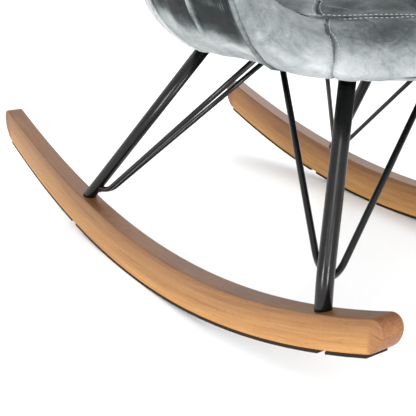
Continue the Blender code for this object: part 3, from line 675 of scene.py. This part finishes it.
def brace_path(side, y, towards_side):
    """Points along a hooked wire, its heading in plan, and where it starts on the leg's axis."""
    foot, up = leg_foot(side, y)
    _, lean = leg_path(side, y)
    other_y = FRONT_LEG_Y if y == REAR_LEG_Y else REAR_LEG_Y
    here = frame_corner(side, y)
    there = frame_corner(side, other_y) if towards_side else frame_corner(-side, y)
    back = (here - there).normalized()
    end = (here + there) / 2
    end += back * (CROSS_END_GAP if y == FRONT_LEG_Y and not towards_side else WIRE_END_GAP)
    end.z = FRAME_BOTTOM - GAP
    hook = HOOK_FRONT if y == FRONT_LEG_Y else HOOK_REAR
    start = foot + (up if y == FRONT_LEG_Y else lean) * (hook + (HOOK_STEP if towards_side else 0.0))
    heading = (end - start).normalized()
    flat = Vector((heading.x, heading.y, 0.0)).normalized()
    first = start + flat * (LEG_RADIUS - 0.0006)
    corner = start + flat * (LEG_RADIUS + WIRE_HOOK)
    run = (end - corner).normalized()
    into = corner - flat * min(WIRE_TURN, WIRE_HOOK * 0.8)
    away = corner + run * WIRE_TURN
    points = [first, first + flat * 0.001, into]
    for k in np.linspace(0, 1, 14)[1:-1]:
        points.append(into * (1 - k) ** 2 + corner * 2 * k * (1 - k) + away * k**2)
    stop = end - Vector((0, 0, WIRE_RADIUS * math.sqrt(1 - run.z**2) + 0.0004))
    return points + [away, away + (stop - away) * 0.5, stop], flat, start


def bead(centre, axis, radius, thick, seed):
    """Ring of weld round a bar, lumpy as a hand-run bead is."""
    axis = Vector(axis).normalized()
    side = axis.orthogonal().normalized()
    other = axis.cross(side)
    rings = []
    count, around = 30, 10
    for i in range(count):
        a = 2 * math.pi * i / count
        out = np.array(side * math.cos(a) + other * math.sin(a))
        lump = 1 + 0.16 * math.sin(5 * a + seed) + 0.10 * math.sin(9 * a + 2.3 * seed)
        b = np.linspace(0, 2 * math.pi, around, endpoint=False)[:, None]
        middle = np.array(centre) + out * radius
        rings.append(middle + thick * lump * (np.cos(b) * out + np.sin(b) * np.array(axis) * 0.9))
    return np.array(rings)


def weld(name, centre, axis, radius, thick, seed):
    """A weld bead, its centre in the CAD's own measures."""
    ring = bead((centre.x, centre.y + SHIFT_Y, centre.z), axis, radius, thick, seed)
    piece(name, ring, tube_faces(*ring.shape[:2], True), BLACK)


def brace(name, side, y, towards_side):
    """Steel wire from a leg up to the frame, with its weld."""
    path, flat, start = brace_path(side, y, towards_side)
    rings = sweep(moved(path), WIRE_RADIUS, WIRE_SIDES)
    faces = tube_faces(len(rings), WIRE_SIDES)
    flat_caps(piece(name, rings, faces, BLACK, (name,)))
    at = start + flat * (LEG_RADIUS + 0.0004)
    weld(f"weld_{name}", at, flat, WIRE_RADIUS * 0.92, 0.0013, side + 7 * y)


for side, tag in ((-1, "left"), (1, "right")):
    for y, end in ((REAR_LEG_Y, "rear"), (FRONT_LEG_Y, "front")):
        leg(f"leg_tube_{end}_{tag}", side, y)
        brace(f"brace_wire_{end}_{tag}_side", side, y, True)
        brace(f"brace_wire_{end}_{tag}_cross", side, y, False)
        top = frame_corner(side, y) - Vector((0.0, 0.0, 0.0004))
        weld(f"weld_top_{end}_{tag}", top, (0, 0, 1), LEG_RADIUS * 1.03, 0.0015, side * 3 + y)


# ---- upholstery ----
COVER = 0.0016
OUTER_DEPTH = 0.0072
RIM_ROUND = (FOAM_EDGE + COVER + OUTER_DEPTH) / 2
RIM_OVER = 2.85 * RIM_ROUND
FRONT_TUCK = math.pi * RIM_ROUND + 0.075
SEAM_DEPTH = 0.0013
SHOULDER = 0.0045
CROWN = 0.0022
CROWN_REACH = 0.035
CLOTH_PRESSURE = 1.5
CLOTH_SLACK = 0.022
CLOTH_STEPS = 14


def rim_length(turn):
    """How far past the rim the inner cover goes before the piping: right under the seat at the front."""
    return RIM_OVER + (FRONT_TUCK - RIM_OVER) * smooth((-fold(turn) - 29.3) / 5.0)


def past_rim(turn, e, lift):
    """Points a length e past the rim, round it and back along the outside of the shell, and their normals."""
    turn, e, lift = np.broadcast_arrays(*(np.asarray(value, float) for value in (turn, e, lift)))
    run = section(fold(turn))[3]
    edge = place(turn, run)
    n = normal(turn, run)
    t = edge - place(turn, run - 1e-3)
    t = t / np.linalg.norm(t, axis=-1, keepdims=True)
    a = np.clip(e / RIM_ROUND, 0.0, math.pi)[..., None]
    out = n * np.cos(a) + t * np.sin(a)
    middle = edge + n * (FOAM_EDGE + COVER - OUTER_DEPTH) / 2
    round_part = middle + out * (RIM_ROUND + lift[..., None])
    back = np.maximum(run - (e - math.pi * RIM_ROUND), 0.01)
    nb = normal(turn, back)
    flat_part = place(turn, back) - nb * (OUTER_DEPTH + lift[..., None])
    under = (e > math.pi * RIM_ROUND)[..., None]
    return np.where(under, flat_part, round_part), np.where(under, -nb, out)


def inner_cover(u, v, over):
    """Points of the inner cover without crown or creases, and their normals.

    over goes from 0 at the rim to 1 at the piping.
    """
    turn, share = disc(u, v)
    run = section(fold(turn))[3]
    n = normal(turn, share * run)
    here = place(turn, share * run) + n * (padding(turn, share) + COVER)[..., None]
    beyond, out = past_rim(turn, over * rim_length(turn), 0.0)
    past = (over > 0)[..., None]
    return np.where(past, beyond, here), np.where(past, out, n)


def lengths(points, axis):
    """Length along the rows or columns of a grid, from its first edge."""
    steps = np.linalg.norm(np.diff(points, axis=axis), axis=-1)
    pad = [(0, 0), (0, 0)]
    pad[axis] = (1, 0)
    return np.cumsum(np.pad(steps, pad), axis=axis)


def simulate(points, faces, pinned):
    """Blows a patch up a little as cloth, held along its edges, and returns its points."""
    mesh = bpy.data.meshes.new("cloth")
    mesh.from_pydata(points.tolist(), [], faces)
    mesh.update()
    obj = bpy.data.objects.new("cloth", mesh)
    bpy.context.scene.collection.objects.link(obj)
    group = obj.vertex_groups.new(name="pin")
    group.add([int(i) for i in np.flatnonzero(pinned)], 1.0, "REPLACE")
    cloth = obj.modifiers.new("cloth", "CLOTH")
    settings = cloth.settings
    settings.quality = 6
    settings.mass = 0.25
    settings.tension_stiffness = 25
    settings.compression_stiffness = 25
    settings.shear_stiffness = 10
    settings.bending_stiffness = 0.8
    settings.vertex_group_mass = "pin"
    settings.use_pressure = True
    settings.uniform_pressure_force = CLOTH_PRESSURE
    settings.shrink_min = -CLOTH_SLACK
    settings.shrink_max = -CLOTH_SLACK
    settings.effector_weights.gravity = 0
    cloth.collision_settings.use_collision = False
    scene = bpy.context.scene
    for step in range(1, CLOTH_STEPS + 1):
        scene.frame_set(step)
    found = obj.evaluated_get(bpy.context.evaluated_depsgraph_get()).data
    out = np.empty(len(points) * 3)
    found.vertices.foreach_get("co", out)
    scene.frame_set(1)
    bpy.data.objects.remove(obj)
    bpy.data.meshes.remove(mesh)
    return out.reshape(-1, 3)


HELD = 0.0045
MOST_BILLOW = 0.0045
STITCH_LONG = 0.0026
STITCH_PITCH = 0.0038
STITCH_THICK = 0.00022
STITCH_ROW = 0.0029
all_stitches = []


def stitch_line(path, outs):
    """Short stitches lying along a line on the cover."""
    steps = np.linalg.norm(np.diff(path, axis=0), axis=1)
    at = np.concatenate([[0.0], np.cumsum(steps)])
    if at[-1] < 3 * STITCH_PITCH:
        return
    starts = np.arange(STITCH_PITCH, at[-1] - STITCH_PITCH, STITCH_PITCH)
    for s in starts:
        a = np.array([np.interp(s, at, path[:, k]) for k in range(3)])
        b = np.array([np.interp(s + STITCH_LONG, at, path[:, k]) for k in range(3)])
        n = np.array([np.interp(s, at, outs[:, k]) for k in range(3)])
        all_stitches.append((a, b, n / (np.linalg.norm(n) + 1e-12)))


def topstitch(points, outs, distance, by_column):
    """A row of stitches beside one sewn edge of a panel, STITCH_ROW away from it."""
    line, ways = [], []
    for k in range(points.shape[1] if by_column else points.shape[0]):
        pick = (slice(None), k) if by_column else (k, slice(None))
        d = distance[pick]
        order = np.argsort(d)
        if d.max() < STITCH_ROW * 1.5:
            continue
        out = outs[pick][order]
        near = points[pick][order] + out * 0.0002
        line.append([np.interp(STITCH_ROW, d[order], near[:, c]) for c in range(3)])
        ways.append([np.interp(STITCH_ROW, d[order], out[:, c]) for c in range(3)])
    if len(line) > 3:
        stitch_line(np.array(line), np.array(ways))


def patch(name, uv, rows, columns, seams, painted_light_and_tone, seed):
    """One sewn panel.

    uv gives u, v and over on a rows x columns grid. seams says which edges are sewn: left, right, start, end.
    """
    row_shares = denser(np.linspace(0, 1, rows))
    column_shares = denser(np.linspace(0, 1, columns))
    b, a = np.meshgrid(row_shares, column_shares, indexing="ij")
    u, v, over = uv(a, b)
    base, outs = inner_cover(u, v, over)
    across = lengths(base, 1)
    along = lengths(base, 0)
    far = np.full(base.shape[:2], 1.0)
    reach = {"left": across, "right": across[:, -1:] - across, "start": along, "end": along[-1:] - along}
    for edge in seams:
        far = np.minimum(far, reach[edge])
    shoulder = np.clip(far / SHOULDER, 0, 1)
    round_up = np.sqrt(np.maximum(1 - (1 - shoulder) ** 2, 0))
    flatter = np.where(over > 0, np.clip(1 - over * 3, 0, 1), 1.0)
    crown = CROWN * (1 - np.exp(-far / CROWN_REACH)) * flatter
    lift = -SEAM_DEPTH + SEAM_DEPTH * round_up + crown
    near = np.exp(-(((far - 0.006) / 0.010) ** 2)) * (far > 1e-5)
    lift = lift + near * 0.0007 * wave(base, 0.011, seed)
    roll = wave(base, 0.055, seed + 1) * 0.0014 + wave(base * (1.0, 0.45, 1.0), 0.024, seed + 2) * 0.0007
    settle = np.clip(far / 0.02, 0, 1) * np.clip(1 - over * 1.2, 0.25, 1)
    lift = lift + roll * settle
    points = base + outs * lift[..., None]
    pinned = far < HELD
    edge = np.zeros_like(pinned)
    edge[0] = edge[-1] = True
    edge[:, 0] = edge[:, -1] = True
    pinned = pinned | edge | (over > 0.4)
    blown = simulate(points.reshape(-1, 3), quads(rows, columns), pinned.reshape(-1))
    move = blown.reshape(points.shape) - points
    size = np.linalg.norm(move, axis=-1, keepdims=True)
    move = move * np.minimum(1.0, MOST_BILLOW / np.maximum(size, 1e-9)) * (size < 0.05)
    weight = np.clip((far - 0.004) / 0.010, 0, 1)[..., None] * (over <= 0.4)[..., None]
    points = points + move * weight
    tone = painted_light_and_tone(base, far)
    # painted shade in the seam crease and a painted highlight on the puffed cloth beside it
    tone = tone - 0.16 * np.exp(-((far / 0.0016) ** 2)) + 0.06 * np.exp(-(((far - 0.007) / 0.004) ** 2))
    made = piece(name, points, quads(rows, columns), VELVET, (name,), {"painted_light_and_tone": tone})
    solid = made.modifiers.new("thickness", "SOLIDIFY")
    solid.thickness = 0.0012
    solid.offset = -1.0
    for edge in seams:
        topstitch(points, outs, reach[edge], edge in ("start", "end"))


def denser(t):
    """Grid shares from 0 to 1, closer together near both ends, where the seams are."""
    return t - 0.11 * np.sin(2 * math.pi * t)


def span(low, high, t):
    """t of the way from low to high."""
    return low + (high - low) * t


# The seams between panels, as v and u along the side seam and as u and v along the arm's lower seam.
SIDE_SEAM = (
    (-1.0, 0.775), (-0.95, 0.790), (-0.90, 0.755), (-0.84, 0.695), (-0.785, 0.645), (-0.60, 0.52),
    (-0.35, 0.50), (0.0, 0.64), (0.25, 0.76), (0.62, 0.80), (1.0, 0.80),
)
ARM_SEAM = ((0.645, -0.785), (0.80, -0.755), (1.0, -0.745))
LIP_SEAM = -0.785


def side_seam(v):
    """u of the seam between the middle panels and the side panels."""
    vs, us = zip(*SIDE_SEAM)
    return np.interp(v, vs, us)


def arm_seam(t):
    """v of the seam between the side panel and the lip corner, t of the way out to the rim."""
    return np.interp(span(ARM_SEAM[0][0], 1.0, t), *zip(*ARM_SEAM))


def with_over(t, low, high, share):
    """Grid share t to a panel coordinate and a share past the rim."""
    inside = np.clip(t / (1 - share), 0, 1)
    return span(low, high, inside), np.clip((t - (1 - share)) / share, 0, 1)


def mirrored(side):
    """The eight inner panels of one side."""
    tag = "left" if side < 0 else "right"

    def lip(a, b):
        v, over = with_over(b, LIP_SEAM, -1.0, 0.42)
        return span(0.0, side_seam(v), a) * side, v, over

    def corner(a, b):
        rim_u = np.where(a < 0.5, 1.0, 1.0 - (1.0 - SIDE_SEAM[0][1]) * (2 * a - 1))
        rim_v = np.where(a < 0.5, ARM_SEAM[-1][1] - (1.0 + ARM_SEAM[-1][1]) * 2 * a, -1.0)
        t, over = with_over(b, 0.0, 1.0, 0.35)
        bow = (arm_seam(t) - span(LIP_SEAM, ARM_SEAM[-1][1], t)) * (1 - a) ** 2
        v = span(LIP_SEAM, rim_v, t) + bow
        u = span(ARM_SEAM[0][0], rim_u, t)
        u = u + (side_seam(v) - u) * np.clip(2 * a - 1, 0, 1) ** 2
        return u * side, v, over

    def inner(v0, v1):
        def uv(a, b):
            v = span(v0, v1, b)
            return span(0.0, side_seam(v), a) * side, v, np.zeros_like(a)
        return uv

    def outer(v0, v1):
        def uv(a, b):
            t, over = with_over(a, 0.0, 1.0, 0.12)
            low = arm_seam(t) if v0 < -0.5 else v0
            v = span(low, v1, b)
            return span(side_seam(span(v0, v1, b)), 1.0, t) * side, v, over
        return uv

    def high(a, b):
        v, over = with_over(b, 0.62, 1.0, 0.08)
        return span(0.0, side_seam(v), a) * side, v, over

    def top_wing(a, b):
        t, over = with_over(a, 0.0, 1.0, 0.12)
        v = span(0.25, 1.0, b)
        return span(side_seam(v), 1.0, t) * side, v, over

    def lip_painted_light(base, _):
        """Painted light along the bottom and painted shade towards the middle of the chair, broken up in
        cloudy patches.
        """
        cloud = wave(base, 0.045, 71) * 0.22 + wave(base, 0.018, 72) * 0.10
        low = smooth((0.320 - base[..., 2]) / 0.026)
        centre = smooth((0.225 - np.abs(base[..., 0])) / 0.05)
        return 0.66 - 0.34 * centre * (1 - low) - 0.06 * centre + 0.04 * low + 0.8 * cloud

    def seat_painted_light(base, far):
        # painted shade over the seat, with a painted highlight near its seams and random mottle
        return 0.13 + wave(base, 0.06, 81) * 0.16 + wave(base, 0.02, 82) * 0.08 + 0.16 * np.exp(-far / 0.012)

    def wall_painted_light(level):
        # a painted sheen level for each wall panel, with random mottle
        return lambda base, _: level + wave(base, 0.07, 91) * 0.24 + wave(base, 0.022, 92) * 0.08

    seed = 100 if side < 0 else 200
    sides = ("left", "right")
    around = ("left", "right", "start", "end")
    panels = (
        # shape, grid, sewn edges, painted light and tone
        ("lip", lip, 46, 56, ("left", "right", "start"), lip_painted_light),
        ("lip_corner", corner, 40, 44, sides, lip_painted_light),
        ("seat_front", inner(LIP_SEAM, -0.15), 50, 52, around, seat_painted_light),
        ("seat_rear", inner(-0.15, 0.25), 38, 50, around, seat_painted_light),
        ("back_low", inner(0.25, 0.62), 52, 50, around, wall_painted_light(0.55)),
        ("back_high", high, 70, 44, ("left", "right", "start"), wall_painted_light(0.60)),
        ("arm", outer(LIP_SEAM, 0.25), 74, 44, ("left", "start", "end"), wall_painted_light(0.52)),
        ("wing", top_wing, 84, 40, ("left", "start"), wall_painted_light(0.58)),
    )
    for order, (part, shape, rows, columns, seams, painted_light_and_tone) in enumerate(panels):
        patch(f"patch_{part}_{tag}", shape, rows, columns, seams, painted_light_and_tone, seed + 5 * order)


mirrored(-1)
mirrored(1)


# ---- stitches ----
def stitches(name, chosen):
    """One mesh of short tapered stitches."""
    points, faces = [], []
    sides = 6
    for a, b, n in chosen:
        way = b - a
        way = way / (np.linalg.norm(way) + 1e-12)
        other = np.cross(way, n)
        start = len(points)
        for t, r, up in ((0.0, 0.35, -0.5), (0.22, 1.0, 0.35), (0.78, 1.0, 0.35), (1.0, 0.35, -0.5)):
            middle = a + (b - a) * t + n * STITCH_THICK * up
            for k in range(sides):
                turn = 2 * math.pi * k / sides
                points.append(middle + STITCH_THICK * r * (math.cos(turn) * other + math.sin(turn) * n))
        faces += tube_faces(4, sides, False, start)
    piece(name, points, faces, THREAD)


for tag, side in (("left", -1), ("right", 1)):
    stitches(f"topstitch_{tag}", [stitch for stitch in all_stitches if stitch[0][0] * side > 0])

# ---- outer cover ----
FOLDS = (
    # turn and depth below the rim at each end, width, height: ridges pulled towards the frame's rear corner
    (-162.4, 0.040, -159.6, 0.116, 0.0026, 0.0034),
    (-164.4, 0.050, -162.0, 0.128, 0.0036, -0.0026),
    (-182.0, 0.168, -171.0, 0.200, 0.0019, 0.0026),
    (-187.0, 0.180, -173.0, 0.209, 0.0018, 0.0024),
    (-175.0, 0.100, -168.5, 0.170, 0.0060, -0.0024),
    (-198.0, 0.185, -182.0, 0.222, 0.0022, 0.0024),
    (-155.4, 0.020, -157.0, 0.064, 0.0028, -0.0022),
)
PAINTED_SHADE_TO = (
    # minus the folded plan direction, how far below the rim the band of painted shade goes
    (-90, 0.90), (-45, 0.60), (-28, 0.32), (-18, 0.19), (0, 0.17),
    (10, 0.14), (20, 0.105), (25, 0.07), (30, 0.02),
)
FOLD_RADIUS = 0.26
GATHER_RADIUS = 0.27
GATHER_PITCH = 0.0130
OUTER_TURNS = 640
OUTER_ROWS = 150


def add_folds(turn, q, lift, tone):
    """Lift, with painted highlights along the ridges and painted shade along the grooves, with each of FOLDS
    and its mirror image added.
    """
    for t0, q0, t1, q1, wide, high in FOLDS:
        for mirror in (False, True):
            a0, a1 = (-180.0 - t0, -180.0 - t1) if mirror else (t0, t1)
            gap = FOLD_RADIUS * math.pi / 180
            centre = (a0 + a1) / 2
            x = ((turn - centre + 180.0) % 360.0 - 180.0) * gap
            ax, bx = (a0 - centre) * gap, (a1 - centre) * gap
            dx, dy = bx - ax, q1 - q0
            size = math.hypot(dx, dy)
            s = ((x - ax) * dx + (q - q0) * dy) / size**2
            across = ((x - ax) * dy - (q - q0) * dx) / size + 0.0020 * np.sin(s * 5.0 + q0 * 90)
            start = smooth(np.clip((s + 0.15) / 0.3, 0, 1))
            stop = smooth(np.clip((1.2 - s) / 0.35, 0, 1))
            lift = lift + high * (np.exp(-((across / wide) ** 2)) * start * stop)
            # painted highlight on the lit flank of each ridge, painted shade in each groove
            lit = np.exp(-(((across - 0.3 * wide) / (wide * 0.55)) ** 2)) * (s > -0.1) * (s < 1.1)
            tone = tone + (1.25 if high > 0 else -0.25) * lit * np.clip(1.1 - np.abs(2 * s - 1), 0, 1)
    return lift, tone


def outer_cover():
    """Velvet over the outside of the shell, from the piping down to the frame, folded and gathered."""
    turns = np.linspace(-270.0, 90.0, OUTER_TURNS, endpoint=False)
    first = rim_length(turns)
    run = section(fold(turns))[3]
    last = math.pi * RIM_ROUND + run - 0.05
    share = np.linspace(0, 1, OUTER_ROWS)[:, None] ** 1.15
    e = first - 0.002 + (last - first) * share
    turn = np.broadcast_to(turns, e.shape)
    base, outs = past_rim(turn, e, -0.0006)
    q = e - math.pi * RIM_ROUND
    lift = wave(base, 0.075, 31) * 0.0022 + wave(base, 0.030, 32) * 0.0009
    lift, tone = add_folds(turn, q, lift, np.zeros(e.shape))
    near = e - first
    gather = np.exp(-((near / 0.030) ** 2)) * smooth(near / 0.004)
    around = turn * math.pi / 180 * GATHER_RADIUS
    corner = np.exp(-(((np.abs(fold(turn) + 24.0)) / 9.0) ** 2))
    pucker = np.sin(around / GATHER_PITCH * 2 * math.pi + 2.2 * wave(base, 0.05, 33))
    lift = lift + gather * (0.0004 + 0.0014 * corner) * pucker
    band = np.sin(2 * math.pi * base[..., 2] / 0.0125 + 3.4 * wave(base, 0.028, 37))
    band = band * np.exp(-(((-fold(turn) - 26.0) / 3.6) ** 2)) * np.exp(-((q / 0.075) ** 2))
    lift = lift + 0.0010 * band * smooth(near / 0.008)
    # painted highlights on the ripple ridges
    tone = tone + 0.62 * np.maximum(band, -0.2) * (0.55 + 0.45 * wave(base, 0.012, 38))
    from_piping = smooth(np.clip(near / 0.006, 0, 1))
    from_frame = smooth(np.clip((last - e) / 0.03, 0, 1))
    lift = lift * from_piping * from_frame * np.where(q < 0, 0.4, 1)
    hollow = np.exp(-(((fold(turn) - 45.0) / 28.0) ** 2))
    lift = np.maximum(lift, -0.0002) + 0.0006 + 0.0020 * hollow * smooth(near / 0.02)
    points = base + outs * lift[..., None]
    # painted shade in a band below the rim, lighter towards the back, and painted light and shade on the
    # puckers by the piping
    painted_shade_to = np.interp(-fold(turn), *zip(*PAINTED_SHADE_TO)) + 0.012 * wave(base, 0.03, 36)
    light = smooth((q - painted_shade_to + 0.008) / 0.024)
    back = smooth((fold(turn) - 5.0) / 40.0)
    tone = tone + span(0.05 + 0.34 * back, 0.76, light) + gather * (0.05 + 0.42 * corner) * pucker
    tone = tone + wave(base, 0.05, 34) * 0.12 + wave(base, 0.018, 35) * 0.07
    faces = quads(OUTER_ROWS, OUTER_TURNS, True)
    made = piece("outer_cover", points, faces, VELVET, ("outer_cover", "seat_foam"), {"painted_light_and_tone": tone})
    solid = made.modifiers.new("thickness", "SOLIDIFY")
    solid.thickness = 0.0010
    solid.offset = -1.0


outer_cover()


# ---- moulded shell ----
SHELL_THICK = 0.0050
SHELL_TURNS = 240
SHELL_ROWS = 90


def moulded_shell():
    """The bucket shell as one smooth solid, a gap below the padding."""
    turns = np.linspace(-180.0, 180.0, SHELL_TURNS, endpoint=False)
    run = section(fold(turns))[3]
    share = np.linspace(0.001, 1.0, SHELL_ROWS)[:, None]
    s = run * share
    turn = np.broadcast_to(turns, s.shape)
    out = normal(turn, s)
    upper = place(turn, s) - out * GAP
    lower = place(turn, s) - out * SHELL_THICK
    points = np.concatenate([upper, lower[::-1]])
    faces = tube_faces(2 * SHELL_ROWS, SHELL_TURNS)
    piece("seat_shell", points, faces, SHELL, ("seat_shell",))


moulded_shell()


# ---- piping ----
PIPING_TURNS = 720
PIPING_SIDES = 14
PIPING_RADIUS = 0.0021


def piping():
    """Covered cord along the seam between the inner and outer covers."""
    turns = np.linspace(-270.0, 90.0, PIPING_TURNS, endpoint=False)
    path, outs = past_rim(turns, rim_length(turns), 0.0004)
    beat = 1 + 0.04 * np.sin(np.arange(PIPING_TURNS) * 1.7)
    rings = sweep(path, PIPING_RADIUS * beat, PIPING_SIDES, True)
    faces = tube_faces(PIPING_TURNS, PIPING_SIDES, True)
    tone = np.full(rings.shape[:2], 0.42)
    made = piece("rim_piping", rings, faces, PIPING, ("rim_piping",), {"painted_light_and_tone": tone})


piping()


# ---- carried-over CAD parts ----
def finish_node(name, material, edge=0.0):
    """Gives a CAD node its look, and rounds its edges by a width."""
    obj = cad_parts[name]
    for slot in obj.material_slots:
        slot.material = material
    if not obj.material_slots:
        obj.data.materials.append(material)
    if edge:
        bevel = obj.modifiers.new("edge", "BEVEL")
        bevel.width = edge
        bevel.segments = 2
        bevel.limit_method = "ANGLE"
        bevel.angle_limit = math.radians(35)


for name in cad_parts:
    if name.startswith("grip_strip"):
        finish_node(name, FELT, 0.0004)
    elif name == "seat_frame":
        finish_node(name, BLACK, 0.0007)
    elif name.startswith("seat_spacer"):
        finish_node(name, RUBBER, 0.0006)
    elif name.startswith(("seat_bolt", "leg_bolt")):
        finish_node(name, ZINC, 0.0002)
    elif name.startswith("shell_insert"):
        finish_node(name, BRASS, 0.0002)
    elif name == "dust_cover":
        finish_node(name, LINING)


# ---- floor and light ----
def add_floor():
    """A nearly white floor that isn't part of the object."""
    n = Nodes("floor", Roughness=0.9, Specular_IOR_Level=0.1)
    grain = n.noise(n.place(), 40.0, 3.0, 0.5)
    n.color(n.ramp(grain, (0.0, (0.90, 0.90, 0.90)), (1.0, (0.92, 0.92, 0.92))))
    mesh = bpy.data.meshes.new("floor")
    xs = np.linspace(-FLOOR_HALF, FLOOR_HALF, FLOOR_POINTS)
    points = [(x, y, 0.0) for y in xs for x in xs]
    mesh.from_pydata(points, [], quads(FLOOR_POINTS, FLOOR_POINTS))
    mesh.materials.append(n.mat)
    obj = bpy.data.objects.new("floor", mesh)
    bpy.context.scene.collection.objects.link(obj)


def add_light(name, place, target, size, power):
    """A rectangular lamp aimed at a point, hidden from the camera."""
    data = bpy.data.lights.new(name, "AREA")
    data.shape = "RECTANGLE"
    data.size, data.size_y = size
    data.energy = power
    obj = bpy.data.objects.new(name, data)
    obj.location = place
    obj.rotation_euler = (Vector(target) - Vector(place)).to_track_quat("-Z", "Y").to_euler()
    obj.visible_camera = False
    bpy.context.scene.collection.objects.link(obj)


LIGHTS = (
    # name, place, target, size, power
    ("key", (-1.5, -1.7, 1.9), (0.0, 0.0, 0.25), (1.2, 1.2), 22.0),
    ("strip_left", (-1.60, -0.62, 0.36), (-0.2, -0.3, 0.25), (0.05, 0.70), 15.0),
    ("strip_front", (-0.50, -1.70, 0.36), (-0.2, -0.3, 0.25), (0.05, 0.70), 15.0),
    ("rear", (1.4, 1.6, 1.9), (0.0, 0.0, 0.3), (1.4, 1.4), 26.0),
)
add_floor()
for lamp in LIGHTS:
    add_light(*lamp)
world = bpy.data.worlds.new("world")
world.use_nodes = True
world.node_tree.nodes["Background"].inputs["Color"].default_value = (*WHITE, 1.0)
world.node_tree.nodes["Background"].inputs["Strength"].default_value = WORLD_STRENGTH
bpy.context.scene.world = world
bpy.context.scene.view_settings.view_transform = "Standard"
